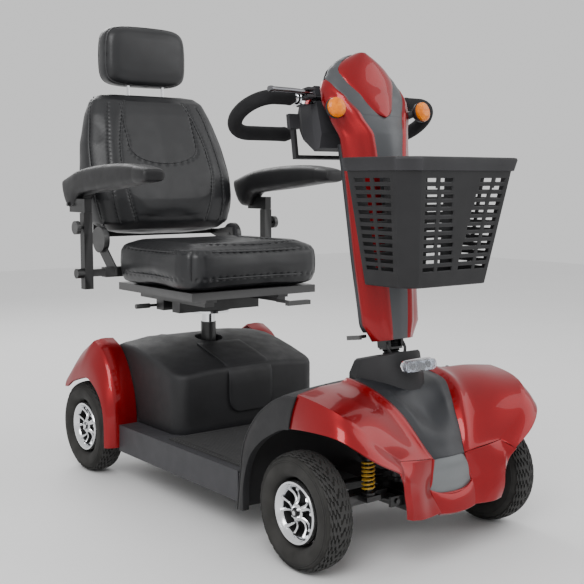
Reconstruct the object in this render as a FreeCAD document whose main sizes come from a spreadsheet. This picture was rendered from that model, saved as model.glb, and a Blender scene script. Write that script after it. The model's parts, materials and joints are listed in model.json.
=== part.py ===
# Mobility scooter with four wheels, a swivel seat and a basket. Millimetres, +Z up.
# The front faces -Y and the rider's right hand is at -X. The axles lie the same
# distance each side of Y = 0 while the pieces are drawn. Every sub-part is then set
# back by origin_shift, so that the whole stands centred on the origin.
import FreeCAD, Part
import math
import os
import re

import Sketcher

Vector = FreeCAD.Vector
Rotation = FreeCAD.Rotation

doc = FreeCAD.newDocument("MobilityScooter")
sheet = doc.addObject("Spreadsheet::Sheet", "dims")

DRIVING = {
    "origin_shift": -22,
    # wheels
    "wheel_radius": 130, "tyre_half": 40, "bead_radius": 64, "lip_radius": 71,
    "half_track": 287, "half_base": 499, "axle_radius": 8, "axle_bore": 8.1,
    "hub_radius": 24, "window_radius": 9, "window_circle": 40,
    # frame and floor
    "spine_half": 45, "spine_low": 98, "spine_high": 138, "spine_wall": 4,
    "sill_half": 292, "deck_top": 162, "sill_low": 88, "shell_wall": 4,
    "deck_front": -250, "deck_rear": 335, "mat_top": 166,
    # front suspension and steering
    "arm_pivot": 62, "arm_height": 120, "king_pin": 215, "king_radius": 8,
    "spring_at": 135, "spring_line": 532, "spring_low": 152, "spring_high": 232,
    "steer_link": 440, "link_height": 150, "column_radius": 17, "column_bore": 17.1,
    "steer_lean": 8.5, "tilt_line": 451, "tilt_height": 480,
    # seat post and swivel
    "post_line": 325, "post_radius": 19, "post_bore": 19.1, "socket_radius": 22,
    "socket_top": 430, "flange_radius": 60, "rail_line": 120, "rail_low": 498,
    "swivel_height": 465, "slide_height": 510.5, "frame_height": 523,
    # seat
    "recline_line": 539, "recline_height": 666, "plate_at": 226, "arm_bar_line": 470,
    "arm_bar_height": 577, "upright_at": 312, "pad_at": 299,
    # handlebar
    "bar_radius": 11, "grip_radius": 17, "bar_front": 305, "bar_rear": 200,
    "bar_high": 1025, "bar_low": 948, "bend_centre": 222, "grip_tip": 100,
}


def fillSheet():
    for row, (alias, value) in enumerate(DRIVING.items(), start=1):
        sheet.set("A%d" % row, alias)
        sheet.set("B%d" % row, str(value))
        sheet.setAlias("B%d" % row, alias)
    doc.recompute()


def size(text):
    """The value of an expression of the sheet's words."""
    return float(sheet.evalExpression(str(text)))


def linked(text):
    """The same expression, as another object of the document has to write it."""
    return re.sub(r"[a-z]\w*_\w+", lambda word: "dims." + word.group(), str(text))


def bind(thing, **values):
    for name, text in values.items():
        thing.setExpression(name, linked(text))


def put(thing, x=0, y=0, z=0, turn=None):
    """Sets a placement whose three distances stay bound to the sheet."""
    thing.Placement = FreeCAD.Placement(Vector(size(x), size(y), size(z)), turn or Rotation())
    for axis, text in zip("xyz", (x, y, z)):
        thing.setExpression(".Placement.Base." + axis, linked(text))
    return thing


fillSheet()
UPRIGHT = Rotation()
ALONG_X = Rotation(Vector(0, 1, 0), 90)
ALONG_Y = Rotation(Vector(1, 0, 0), -90)
LEANING = Rotation(Vector(1, 0, 0), -size("steer_lean"))
FRONT_VIEW = Rotation(Vector(1, 0, 0), 90)
SIDE_VIEW = Rotation(Vector(1, 1, 1), 120)
nodes = []


# ---------------------------------------------------------------- small helpers

def rod(name, radius, length, x=0, y=0, z=0, turn=UPRIGHT):
    thing = doc.addObject("Part::Cylinder", name)
    bind(thing, Radius=radius, Height=length)
    return put(thing, x, y, z, turn)


def block(name, x, y, z, turn=None):
    """A box given by its (low, high) in each direction."""
    thing = doc.addObject("Part::Box", name)
    spans = {"Length": x, "Width": y, "Height": z}
    bind(thing, **{key: "(%s) - (%s)" % (high, low) for key, (low, high) in spans.items()})
    return put(thing, x[0], y[0], z[0], turn)


def fuse(name, *pieces):
    thing = doc.addObject("Part::MultiFuse", name)
    thing.Shapes = list(pieces)
    return thing


def cut(name, base, *tools):
    thing = doc.addObject("Part::Cut", name)
    thing.Base = base
    thing.Tool = tools[0] if len(tools) == 1 else fuse(name + "_tools", *tools)
    return thing


def common(name, *pieces):
    thing = doc.addObject("Part::MultiCommon", name)
    thing.Shapes = list(pieces)
    return thing


def mirrored(name, source):
    thing = doc.addObject("Part::Mirroring", name)
    thing.Source = source
    thing.Normal = Vector(1, 0, 0)
    return thing


def outline(name, points, view):
    """A closed sketch. Each corner's two distances are bound to the sheet."""
    sketch = doc.addObject("Sketcher::SketchObject", name)
    spots = [Vector(size(u), size(v), 0) for u, v in points]
    for here, there in zip(spots, spots[1:] + spots[:1]):
        sketch.addGeometry(Part.LineSegment(here, there))
    for i, (u, v) in enumerate(points):
        before = (i - 1) % len(points)
        sketch.addConstraint(Sketcher.Constraint("Coincident", before, 2, i, 1))
        for kind, text, value in (("DistanceX", u, spots[i].x), ("DistanceY", v, spots[i].y)):
            at = sketch.addConstraint(Sketcher.Constraint(kind, -1, 1, i, 1, value))
            sketch.setExpression("Constraints[%d]" % at, linked(text))
    sketch.Placement = FreeCAD.Placement(Vector(), view)
    return sketch


def extruded(name, source, low, high, view):
    """Pushes a sketch from low to high along its view's line of sight."""
    thing = doc.addObject("Part::Extrusion", name)
    thing.Base = source
    thing.DirMode = "Custom"
    thing.Dir = Vector(0, 1, 0) if view is FRONT_VIEW else view.multVec(Vector(0, 0, 1))
    thing.Solid = True
    bind(thing, LengthFwd=high, LengthRev="-(%s)" % low)
    return thing


def prism(name, points, low, high, view):
    return extruded(name, outline(name + "_outline", points, view), low, high, view)


def spun(name, points):
    """Turns an (x, radius) outline about the X axis."""
    thing = doc.addObject("Part::Revolution", name)
    thing.Source = outline(name + "_outline", points, Rotation())
    thing.Axis = Vector(1, 0, 0)
    thing.Angle = 360
    thing.Solid = True
    return thing


def offset(name, source, distance):
    thing = doc.addObject("Part::Offset2D", name)
    thing.Source = source
    bind(thing, Value=distance)
    return thing


def crossed(name, views):
    """What two outlines, seen from two sides, have in common, and the same shape one
    wall smaller. Each view is (points, low, high, direction)."""
    outers, inners = [], []
    for i, (points, low, high, view) in enumerate(views):
        flat = outline("%s_flat%d" % (name, i), points, view)
        outers.append(extruded("%s_outer%d" % (name, i), flat, low, high, view))
        smaller = offset("%s_inset%d" % (name, i), flat, "-shell_wall")
        inners.append(extruded("%s_inner%d" % (name, i), smaller, low, high, view))
    return common(name + "_outer", *outers), common(name + "_inner", *inners)


def softened(name, base, radius):
    """Rounds every edge of a plain block."""
    thing = doc.addObject("Part::Fillet", name)
    doc.recompute()
    thing.Base = base
    thing.Edges = [(i + 1, radius, radius) for i in range(len(base.Shape.Edges))]
    return thing


def node(name, *pieces, at=(0, 0, 0), turn=None):
    """One named sub-part, set back with the rest so that the whole is centred."""
    thing = doc.addObject("Part::Compound", name)
    thing.Links = list(pieces)
    put(thing, at[0], "%s + origin_shift" % at[1], at[2], turn)
    thing.Label = name
    nodes.append(thing)
    return thing


def tillerNode(name, *pieces):
    """A sub-part drawn upright about the tiller's tilt pin, then leaned back."""
    return node(name, *pieces, at=(0, "-tilt_line", "tilt_height"), turn=LEANING)


def bothSides(name, piece):
    return [piece, mirrored(name + "_far", piece)]


# ---------------------------------------------------------------- wheels

def tyre(name):
    bead, half = "bead_radius", "tyre_half"
    side = [("-31", bead), ("-31", "lip_radius + 2"), ("4 - " + half, "lip_radius + 12"),
            ("-" + half, "lip_radius + 26"), ("3 - " + half, "lip_radius + 40"),
            ("9 - " + half, "wheel_radius - 9"), ("20 - " + half, "wheel_radius - 3"),
            ("34 - " + half, "wheel_radius")]
    other = [("-(%s)" % x, radius) for x, radius in reversed(side)]
    return spun(name, side + other)


def rim(name):
    section = [("-35", "lip_radius"), ("-31", "lip_radius"), ("-31", "bead_radius"),
               ("31", "bead_radius"), ("31", "lip_radius"), ("35", "lip_radius"), ("35", "60"),
               ("-8", "57"), ("-8", "hub_radius"), ("26", "hub_radius"), ("26", "axle_bore"),
               ("-26", "axle_bore"), ("-26", "hub_radius"), ("-20", "hub_radius"),
               ("-20", "57"), ("-35", "60")]
    windows = []
    for i in range(5):
        turn = math.radians(90 + 72 * i)
        windows.append(rod("%s_window%d" % (name, i), "window_radius", 20, -24,
                           "window_circle * %.6f" % math.cos(turn),
                           "window_circle * %.6f" % math.sin(turn), ALONG_X))
    return cut(name, spun(name + "_turned", section), *windows)


def wheels():
    half_turn = Rotation(Vector(0, 0, 1), 180)
    for end, y in (("front", "-half_base"), ("rear", "half_base")):
        for side, x, turn in (("right", "-half_track", None), ("left", "half_track", half_turn)):
            label = "%s_%s" % (end, side)
            node("tyre_" + label, tyre("rubber_" + label), at=(x, y, "wheel_radius"), turn=turn)
            node("rim_" + label, rim("casting_" + label), at=(x, y, "wheel_radius"), turn=turn)


# ---------------------------------------------------------------- chassis

def headTube(name, radius, low, high):
    """A rod along the steering axis, from low to high along it below the tilt pin."""
    return rod(name, radius, "%s - %s" % (high, low), 0, "-tilt_line + %s * sin(steer_lean)" % low,
               "tilt_height + %s * cos(steer_lean)" % low, LEANING)


def mainFrame():
    inside = "spine_half - spine_wall"
    spine = cut("spine", block("spine_outer", ("-spine_half", "spine_half"), (-560, 430),
                               ("spine_low", "spine_high")),
                block("spine_inside", ("-(%s)" % inside, inside), (-565, 460),
                      ("spine_low + spine_wall", "spine_high - spine_wall")))
    web = prism("head_web", [(-556, "spine_high - 1"), (-530, "spine_high - 1"), (-528, 160),
                             (-474, 385), (-490, 385), (-546, 250)], -14, 14, SIDE_VIEW)
    tube = headTube("head_tube", 24, -325, -58)
    tower = block("spring_tower", (-152, 152), (-550, -514), ("spring_high", "spring_high + 18"))
    lugs = []
    for i, y in enumerate((-548, -458)):
        lugs.append(block("pivot_lug%d" % i, ("1 - spine_half - 36", "spine_half + 35"), (y, y + 8),
                          ("arm_height - 12", "arm_height + 12")))
    pins = [rod("pivot_pin%d" % i, 6, 106, "%d * arm_pivot" % side, -552, "arm_height", ALONG_Y)
            for i, side in enumerate((-1, 1))]
    cups = [rod("spring_cup%d" % i, 17, 6, "%d * spring_at" % side, "-spring_line", "spring_high - 6")
            for i, side in enumerate((-1, 1))]
    stops = [rod("bump_stop%d" % i, 9, 28, "%d * spring_at" % side, "-spring_line", "spring_high - 27")
             for i, side in enumerate((-1, 1))]
    whole = fuse("frame_whole", spine, web, tube, tower, *lugs, *pins, *cups, *stops)
    hollow = block("lug_gap", ("4 - spine_half", "spine_half - 4"), (-565, 460),
                   ("spine_low + spine_wall", "spine_high - spine_wall"))
    bore = headTube("head_bore", "column_bore", -330, -50)
    node("main_frame", cut("frame_bored", whole, bore, hollow))
    braces = [block("brace%d" % i, (-280, 280), (y, y + 22), ("spine_high", "spine_high + 19.5"))
              for i, y in enumerate((-200, 60, 258))]
    node("floor_braces", *braces)


def seatSocket():
    tube = rod("socket_tube", "socket_radius", "socket_top - spine_high", 0, "post_line", "spine_high")
    foot = rod("socket_foot", 42, 8, 0, "post_line", "spine_high")
    bore = rod("socket_bore", "post_bore", 400, 0, "post_line", "spine_high + 8")
    node("seat_socket", cut("socket_bored", fuse("socket_whole", tube, foot), bore))


def floor():
    half, top = "sill_half", "deck_top"
    channel = [("-" + half, "sill_low"), ("-" + half, top), (half, top), (half, "sill_low"),
               (half + " - shell_wall", "sill_low"), (half + " - shell_wall", top + " - shell_wall"),
               ("shell_wall - " + half, top + " - shell_wall"), ("shell_wall - " + half, "sill_low")]
    pan = prism("pan_channel", channel, "deck_front", "deck_rear", FRONT_VIEW)
    hole = rod("pan_post_hole", 46, 60, 0, "post_line", 130)
    node("floor_pan", cut("pan_holed", pan, hole))
    node("floor_mat", block("mat_sheet", (-268, 268), (-236, 104), ("deck_top", "mat_top")))


def drive():
    cells = [block("battery%d" % i, (x, x + 168), (128, 258), (168, 318))
             for i, x in enumerate((-176, 8))]
    node("batteries", *cells)
    axle = rod("axle_shaft", "axle_radius", 630, -315, "half_base", "wheel_radius", ALONG_X)
    tubes = rod("axle_tube", 30, 436, -218, "half_base", "wheel_radius", ALONG_X)
    differential = rod("differential", 62, 84, -42, "half_base", "wheel_radius", ALONG_X)
    motor = rod("motor", 46, 150, 96, "half_base - 96", "wheel_radius + 30", ALONG_Y)
    saddle = block("axle_saddle", (-40, 40), (430, 470), ("spine_low + 2", "spine_high - 2"))
    node("motor_transaxle", fuse("transaxle", axle, tubes, differential, motor, saddle))


def rearCover():
    plan = [(-222, 114), (-236, 200), (-238, 560), (-200, 604), (200, 604), (238, 560),
            (236, 200), (222, 114)]
    side = [(118, "deck_top + 0.3"), (112, 250), (116, 326), (140, 352), (210, 385), (300, 400),
            (400, 404), (500, 384), (590, 320), (606, 210), (362, 204), (350, "deck_top + 0.3")]
    outer, inner = crossed("cover", [(plan, 100, 420, Rotation()), (side, -260, 260, SIDE_VIEW)])
    belly = block("cover_mouth", (-234, 234), (122, 346), (150, 180))
    tail = block("cover_tail_mouth", (-234, 234), (356, 598), (190, 214))
    hole = rod("cover_post_hole", 27, 80, 0, "post_line", 360)
    motor_way = block("cover_gap", (-234, 234), (345, 364), (150, 214))
    node("rear_cover", cut("cover_shell", outer, inner, belly, tail, hole, motor_way))


def rearFenders():
    side = [(340, 97), (338, 200), (352, 290), (396, 352), (452, 384), (530, 380), (586, 330),
            (612, 262), (606, 240), (596, 240), (400, 97)]
    plan = [(-316, 342), (-326, 420), (-326, 560), (-306, 612), (-240, 616), (-240, 336), (-300, 336)]
    outer, inner = crossed("fender", [(side, -330, -236, SIDE_VIEW), (plan, 80, 400, Rotation())])
    well = rod("fender_well", 160, 200, -420, "half_base", "wheel_radius + 5", ALONG_X)
    under = block("fender_under", (-340, -200), (366, 640), (60, 240))
    inside = block("fender_inside", (-246, -238.4), (345, 600), (90, 350))
    right = cut("fender_right", outer, inner, well, under, inside)
    node("rear_fenders", *bothSides("fender", right))


def frontShroud():
    plan = [(-318, -400), (-322, -450), (-320, -520), (-305, -590), (-262, -645), (-190, -676),
            (190, -676), (262, -645), (305, -590), (320, -520), (322, -450), (318, -400)]
    side = [(-400, 370), (-460, 390), (-530, 384), (-600, 350), (-650, 300),
            (-678, 250), (-688, 190), (-686, 130), (-660, 118), (-400, 118)]
    outer, inner = crossed("shroud", [(plan, 60, 420, Rotation()), (side, -330, 330, SIDE_VIEW)])
    wells = []
    for i, (low, high) in enumerate(((-340, -172), (172, 340))):
        wells.append(rod("shroud_well%d" % i, 168, 168, low, "-half_base", "wheel_radius", ALONG_X))
        wells.append(block("shroud_skirt%d" % i, (low, high), (-760, -300), (50, 248)))
    centre = block("shroud_centre", (-128, 128), (-760, -300), (50, 420))
    rear = block("shroud_rear", (-312, 312), (-410, -390), (60, 420))
    below = block("shroud_below", (-176, 176), (-690, -330), (60, 140))
    node("front_shroud", cut("shroud_shell", outer, inner, centre, rear, below, *wells))


def centrePanel():
    skin = [(-500, 402), (-532, 362), (-585, 331), (-620, 286), (-650, 234), (-668, 182), (-690, 132),
            (-688, 118), (-676, 118), (-660, 178), (-642, 231), (-612, 281), (-578, 325), (-527, 356),
            (-496, 396)]
    panel = prism("panel_skin", skin, -127.7, 127.7, SIDE_VIEW)
    node("front_centre_panel", panel)


def footwellPanel():
    skin = [(-251, 72), (-257, 165), (-296, 262), (-330, 322), (-392, 378), (-398, 374), (-336, 318),
            (-302, 258), (-263, 163), (-257, 72)]
    panel = prism("footwell_skin", skin, -305, 305, SIDE_VIEW)
    slot = block("footwell_slot", (-48, 48), (-270, -240), (60, 142))
    node("footwell_panel", cut("footwell_cut", panel, slot))


def neckCover():
    side = [(-538, 366), (-536, 404), (-512, 449), (-486, 449), (-404, 424), (-399, 380), (-440, 392),
            (-500, 404)]
    front = [(-127, 350), (-124, 396), (-70, 449), (70, 449), (124, 396), (127, 350)]
    outer, inner = crossed("neck", [(side, -130, 130, SIDE_VIEW), (front, -600, -380, FRONT_VIEW)])
    mouth = block("neck_mouth", (-119, 119), (-532, -404), (340, 399))
    hole = rod("neck_hole", 28, 160, 0, -471.4, 340, LEANING)
    node("neck_cover", cut("neck_shell", outer, inner, mouth, hole))
    body = rod("lamp_body", 11, 48, -24, -578, 430, ALONG_X)
    stalk = block("lamp_stalk", (-9, 9), (-580, -520), (424, 434))
    ends = [doc.addObject("Part::Sphere", "lamp_end%d" % i) for i in range(2)]
    for end, x in zip(ends, (-24, 24)):
        bind(end, Radius=11)
        put(end, x, -578, 430)
    lamp = cut("lamp_whole", fuse("lamp", body, stalk, *ends), outer)
    node("headlight", lamp)


def frontSprings():
    coils = []
    for i, side in enumerate((-1, 1)):
        path = doc.addObject("Part::Helix", "spring_path%d" % i)
        bind(path, Pitch="(spring_high - spring_low - 12) / 7", Radius=13.5,
             Height="spring_high - spring_low - 12")
        wire = doc.addObject("Part::Circle", "spring_wire%d" % i)
        bind(wire, Radius=2)
        put(wire, 13.5, 0, 0, Rotation(Vector(1, 0, 0), 90))
        coil = doc.addObject("Part::Sweep", "spring_coil%d" % i)
        coil.Sections = [wire]
        coil.Spine = (path, ["Edge1"])
        coil.Solid = True
        coil.Frenet = True
        put(coil, "%d * spring_at" % side, "-spring_line", "spring_low + 3")
        coils.append(coil)
    node("front_springs", *coils)


# ---------------------------------------------------------------- front axle and steering

def frontArm(side, sign):
    bush = rod("bush_" + side, 13, 78, "-arm_pivot", -538, "arm_height", ALONG_Y)
    beam = block("beam_" + side, ("16 - king_pin", "-arm_pivot - 4"), (-520, -478),
                 ("arm_height + 2", "arm_height + 24"))
    shelf = block("shelf_" + side, ("-spring_at - 20", "-spring_at + 20"), (-552, -500),
                  ("arm_height + 14", "spring_low - 6"))
    seat = rod("seat_" + side, 17, 7, "-spring_at", "-spring_line", "spring_low - 7")
    guide = rod("guide_" + side, 8, 26, "-spring_at", "-spring_line", "spring_low - 1")
    boss = rod("boss_" + side, 15, 78, "-king_pin", "-half_base", 92)
    arm = fuse("arm_" + side, bush, beam, shelf, seat, guide, boss)
    holes = [rod("bush_hole_" + side, 6.06, 120, "-arm_pivot", -560, "arm_height", ALONG_Y),
             rod("boss_hole_" + side, "king_radius + 0.06", 120, "-king_pin", "-half_base", 80)]
    arm = cut("arm_bored_" + side, arm, *holes)
    return arm if sign < 0 else mirrored("arm_far", arm)


def knuckle(side, sign):
    pin = rod("kingpin_" + side, "king_radius", 100, "-king_pin", "-half_base", 81)
    lugs = [block("lug%d_%s" % (i, side), ("-king_pin - 28", "13 - king_pin"), (-515, -483), (z, z + 10))
            for i, z in enumerate((81, 171))]
    plate = block("plate_" + side, ("-king_pin - 28", "-king_pin - 16"), (-517, -481), (81, 181))
    axle = rod("stub_" + side, "axle_radius", 88, "-king_pin - 103", "-half_base", "wheel_radius", ALONG_X)
    link = block("link_" + side, ("4 - king_pin", "16 - king_pin"), (-499, "5 - steer_link"), (171, 179))
    drop = rod("drop_" + side, 8, 41, "10 - king_pin", "-steer_link", "link_height - 12")
    whole = fuse("knuckle_whole_" + side, pin, plate, axle, link, drop, *lugs)
    return whole if sign < 0 else mirrored("knuckle_far", whole)


def steering():
    for side, sign in (("right", -1), ("left", 1)):
        node("front_arm_" + side, frontArm(side, sign))
        node("knuckle_" + side, knuckle(side, sign))
    bar = rod("tie_bar", 6, "2 * (king_pin - 25)", "25 - king_pin", "-steer_link", "link_height", ALONG_X)
    eye = block("tie_eye", (-14, 14), ("-steer_link - 6", "12 - steer_link"),
                ("link_height - 6", "link_height + 6"))
    node("tie_rod", fuse("tie_whole", bar, eye))
    shaft = rod("column_shaft", "column_radius", 312, 0, 0, -338)
    hub = rod("pitman_hub", 22, 9, 0, 0, -337)
    pitman = block("pitman_arm", (-8, 8), (0, 40), (-337, -328))
    yoke = [block("yoke%d" % i, (x, x + 8), (-19, 19), (-27, 18)) for i, x in enumerate((-24, 16))]
    saddle = rod("yoke_saddle", 27, 5, 0, 0, -31)
    pin = rod("tilt_pin", 6, 56, -28, 0, 0, ALONG_X)
    tillerNode("steering_column", fuse("column", shaft, hub, pitman, saddle, pin, *yoke))


# ---------------------------------------------------------------- tiller, drawn upright

def tillerCovers():
    side = [(-38, -7), (-40, 200), (-40, 457), (-30, 505), (-8, 560), (16, 610), (36, 659), (52, 655),
            (46, 560), (30, 480), (20, 400), (18, 200), (17, 33), (-8, -2)]
    half = [(64, -9), (84, 30), (92, 200), (96, 400), (104, 470), (130, 545), (126, 566), (98, 600),
            (62, 640), (22, 661)]
    front = [("-%s" % x, v) for x, v in half] + [(x, v) for x, v in reversed(half)]
    outer, inner = crossed("tiller", [(side, -140, 140, SIDE_VIEW), (front, -80, 100, FRONT_VIEW)])
    whole = cut("tiller_shell", outer, inner)
    behind = block("tiller_behind", (-150, 150), (-8, 90), (-40, 476))
    crest = block("tiller_crest_behind", (-150, 150), (40, 90), (440, 640))
    foot = block("tiller_mouth", (-46, 46), (-34, 14), (-20, 36))
    bar = rod("cover_bar_way", 26, 300, -150, 63.8, 560.6, ALONG_X)
    tillerNode("tiller_front_cover", cut("front_cover_cut", whole, behind, crest, foot, bar))
    rear = common("rear_cover_half", whole, block("tiller_rear_half", (-150, 150), (-7.9, 90), (-40, 440)))
    tillerNode("tiller_rear_cover", cut("rear_cover_cut", rear, foot))
    post = block("post_tube", (-14, 14), (-14, 14), (-10, 470))
    knob = rod("post_eye", 14, 29, -14.5, 0, 0, ALONG_X)
    bore = rod("post_eye_bore", 6.06, 40, -20, 0, 0, ALONG_X)
    slit = block("post_foot", (-14.6, 14.6), (-20, 20), (-30, -0.01))
    post = fuse("post_joined", cut("post_lifted", post, slit), knob)
    cross = block("post_head", (-70, 70), (-14, 14), (452, 470))
    tillerNode("tiller_post", cut("post_bored", fuse("post_whole", post, cross), bore))


def console():
    half = 116
    side = [(56, 446), (72, 440), (130, 492), (152, 520), (144, 542), (84, 582), (56, 590), (53, 545),
            (47, 478)]
    plan = [("-104", 20), (-half, 70), (-half, 110), (-92, 158), (92, 158), (half, 110), (half, 70),
            (104, 20)]
    outer, inner = crossed("console", [(side, -130, 130, SIDE_VIEW), (plan, 400, 640, Rotation())])
    bar = rod("console_bar_way", "bar_radius + 1", 300, -150, 63.8, 560.6, ALONG_X)
    holes = [dash(rod("dash_hole%d" % i, radius, 60), x, -30)
             for i, (x, radius) in enumerate(((0, 5.3), (60, 4.3), (-60, 8.3)))]
    way = block("console_saddle_way", (-25, 25), (40, 79), (430, 565))
    boss = rod("console_boss", 9, 24, 0, 106, 456.3)
    shell = cut("console_shell", outer, inner, bar, way, *holes)
    tillerNode("console", fuse("console_whole", shell, boss))


def dash(piece, x, out):
    """Stands a small control on the sloping dash, which it meets at right angles."""
    tilt = Rotation(Vector(1, 0, 0), -33.7)
    spot = Vector(x, 110.8, 564.5) + tilt.multVec(Vector(0, 0, out))
    return put(piece, spot.x, spot.y, spot.z, tilt)


def dashControls():
    knob = fuse("dial", rod("dial_skirt", 15, 5, 0, 0, 0), rod("dial_grip", 11, 13, 0, 0, 4),
                rod("dial_shaft", 5, 9, 0, 0, -8))
    tillerNode("speed_knob", dash(knob, 0, 0.6))
    key = fuse("key", rod("key_blade", 4, 12, 0, 0, -9), block("key_bow", (-11, 11), (-1.6, 1.6), (3, 27)))
    tillerNode("ignition_key", dash(key, 60, 0.6))
    button = fuse("button", rod("button_cap", 8, 12, 0, 0, -7), rod("button_collar", 11, 2, 0, 0, -7))
    tillerNode("horn_button", dash(button, -60, 0.4))


def barLoop(name, radius, start, tip):
    """One side's loop: the front run, a half turn and the rear run."""
    rear = Vector(0, 179 - 63.8, 500 - 560.6)
    depth = rear.Length
    across = rear.multiply(1 / depth)
    bend = doc.addObject("Part::Torus", name + "_bend")
    bind(bend, Radius1="%.4f" % (depth / 2), Radius2=radius)
    bend.Angle3 = 180
    turn = Rotation(across.negative(), Vector(-1, 0, 0), across.cross(Vector(1, 0, 0)), "XYZ")
    put(bend, "-bend_centre", 63.8 + across.y * depth / 2, 560.6 + across.z * depth / 2, turn)
    front = rod(name + "_front", radius, "bend_centre - %s" % start, "-bend_centre", 63.8, 560.6, ALONG_X)
    rear = rod(name + "_rear", radius, "bend_centre - %s" % tip, "-bend_centre", 179, 500, ALONG_X)
    return [bend, front, rear]


def handlebar():
    tube = fuse("bar_loop", *barLoop("bar", "bar_radius", 0, "grip_tip - 4"))
    clamp = [block("clamp_block", (-160, -128), (47, 82), (544, 579))]
    clamp += [block("clamp_ear%d" % i, (-154, -134), (28, 60), (v, v + 6))
              for i, v in enumerate((556, 573))]
    middle = rod("bar_middle", "bar_radius", 20, -10, 63.8, 560.6, ALONG_X)
    head = block("bar_saddle", (-24, 24), (50, 78), (471, 560))
    foot = block("bar_saddle_foot", (-24, 24), (14.5, 52), (454, 470))
    both = fuse("bar_whole", tube, mirrored("bar_far", tube), middle, head, foot, *clamp)
    tillerNode("handlebar", both)
    foam = fuse("foam_loop", *barLoop("foam", "grip_radius", 172, "grip_tip"))
    sleeve = cut("foam_sleeve", foam, tube)
    tillerNode("hand_grips", sleeve, mirrored("foam_far", sleeve))


def levers():
    arm = prism("brake_arm", [(-137, 30), (-137, 44), (-152, 42), (-200, 33), (-262, 29), (-272, 26),
                              (-272, 18), (-262, 19), (-200, 22)], 564, 572, Rotation())
    pivot = rod("brake_pivot", 5, 10.2, -144, 36, 562.4)
    tillerNode("brake_lever", fuse("brake_whole", arm, pivot))
    hub = rod("throttle_hub", 12, 28, 0, 106, 428)
    beam = block("throttle_beam", (-150, 150), (99, 113), (428, 436))
    arms = [block("throttle_arm%d" % i, (x, x + 8), (99, 113), (430, 505))
            for i, x in enumerate((-150, 142))]
    paddles = [block("throttle_paddle%d" % i, (x, x + 30), (98, 110), (498, 532))
               for i, x in enumerate((-160, 130))]
    tillerNode("throttle_lever", fuse("throttle_whole", hub, beam, *arms, *paddles))
    shaft = rod("tilt_shaft", 4, 24, -88, 12, 4, ALONG_X)
    handle = block("tilt_handle", (-92, -84), (2, 46), (-2, 8))
    tillerNode("tilt_lever", fuse("tilt_whole", shaft, handle))


def lampsAndBracket():
    lamp = fuse("indicator", rod("indicator_lens", 23, 22, -132, -56, 519, ALONG_Y),
                rod("indicator_cup", 20, 16, -132, -34, 519, ALONG_Y),
                rod("indicator_stalk", 8, 30, -132, -26, 519, ALONG_X))
    tillerNode("indicator_lamps", *bothSides("indicator", cut("indicator_clear", lamp, doc.tiller_outer)))
    plate = block("bracket_plate", (-50, 50), (-46, -40.2), (150, 400))
    arms = [block("bracket_arm%d" % i, (x, x + 6), (-84, -44), (236, 288)) for i, x in enumerate((-36, 30))]
    hook = block("bracket_hook", (-50, 50), (-88, -84), (236, 288))
    tillerNode("basket_bracket", fuse("bracket", plate, *arms, hook))


def trayOutline(name, low, wall, z):
    """The basket's plan at one height: a rectangle with cut corners."""
    half, front, rear, corner = low
    half, front, rear = half - wall, front + wall, rear - wall
    points = [(-half, rear), (-half, front + corner), (corner - half, front), (half - corner, front),
              (half, front + corner), (half, rear)]
    flat = outline(name, points, Rotation())
    flat.Placement.Base.z = z
    return flat


def lofted(name, *sections):
    thing = doc.addObject("Part::Loft", name)
    thing.Sections = list(sections)
    thing.Solid = True
    thing.Ruled = True
    return thing


def basket():
    foot, mouth, rim_top = (130, -646, -513, 34), (176, -692, -497, 44), 886
    outer = lofted("tray_outer", trayOutline("tray_foot", foot, 0, 612),
                   trayOutline("tray_mouth", mouth, 0, rim_top))
    inner = lofted("tray_inner", trayOutline("tray_floor", foot, 3, 615),
                   trayOutline("tray_opening", mouth, 3, rim_top + 0.5))
    band = lofted("tray_band", trayOutline("band_low", mouth, -3, rim_top - 28),
                  trayOutline("band_high", mouth, -4, rim_top))
    hollow = lofted("band_hollow", trayOutline("band_floor", mouth, 4, rim_top - 29),
                    trayOutline("band_opening", mouth, 3, rim_top + 1))
    hook = block("tray_hook", (-44, 44), (-505, -480), (782, 788))
    body = fuse("tray_whole", cut("tray_shell", outer, inner), cut("tray_rim", band, hollow), hook)
    node("basket", body)


# ---------------------------------------------------------------- seat

def seatBase():
    tube = rod("post_outer", "post_radius", "swivel_height - 4 - 170", 0, "post_line", 170)
    flange = rod("post_flange", "flange_radius", 6, 0, "post_line", "swivel_height - 6.3")
    bore = rod("post_inner", "post_radius - 3", 280, 0, "post_line", 160)
    pivot = rod("post_pivot", 10, 26, 0, "post_line", "swivel_height - 7")
    node("seat_post", fuse("post_swivel", cut("post_drilled", fuse("post_solid", tube, flange), bore), pivot))
    plate = rod("swivel_plate", "flange_radius + 2", 8, 0, "post_line", "swivel_height")
    rails = [block("lower_rail%d" % i, (x, x + " + 30"), (132, 482), ("rail_low", "slide_height - 0.8"))
             for i, x in enumerate(("-rail_line - 15", "rail_line - 15"))]
    bars = [block("cross_bar%d" % i, ("-rail_line - 15", "rail_line + 15"), (y, y + 40),
                  ("swivel_height + 4", "rail_low + 1")) for i, y in enumerate((262, 350))]
    ear = block("swivel_ear", (-36, -24), (390, 407.7), (470, 487))
    spine = block("swivel_spine", (-40, 40), (262, 390), ("swivel_height + 4", "rail_low - 8"))
    hole = rod("swivel_hole", 10.06, 40, 0, "post_line", "swivel_height - 5")
    swivel = cut("swivel_bored", fuse("swivel_whole", plate, *rails, *bars, spine, ear), hole)
    node("swivel_base", swivel)
    lever = fuse("swivel_rod", rod("swivel_run", 4, 140, -160, 412, 478, ALONG_X),
                 rod("swivel_grip", 7, 44, -190, 412, 478, ALONG_X))
    node("swivel_lever", lever)


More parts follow.
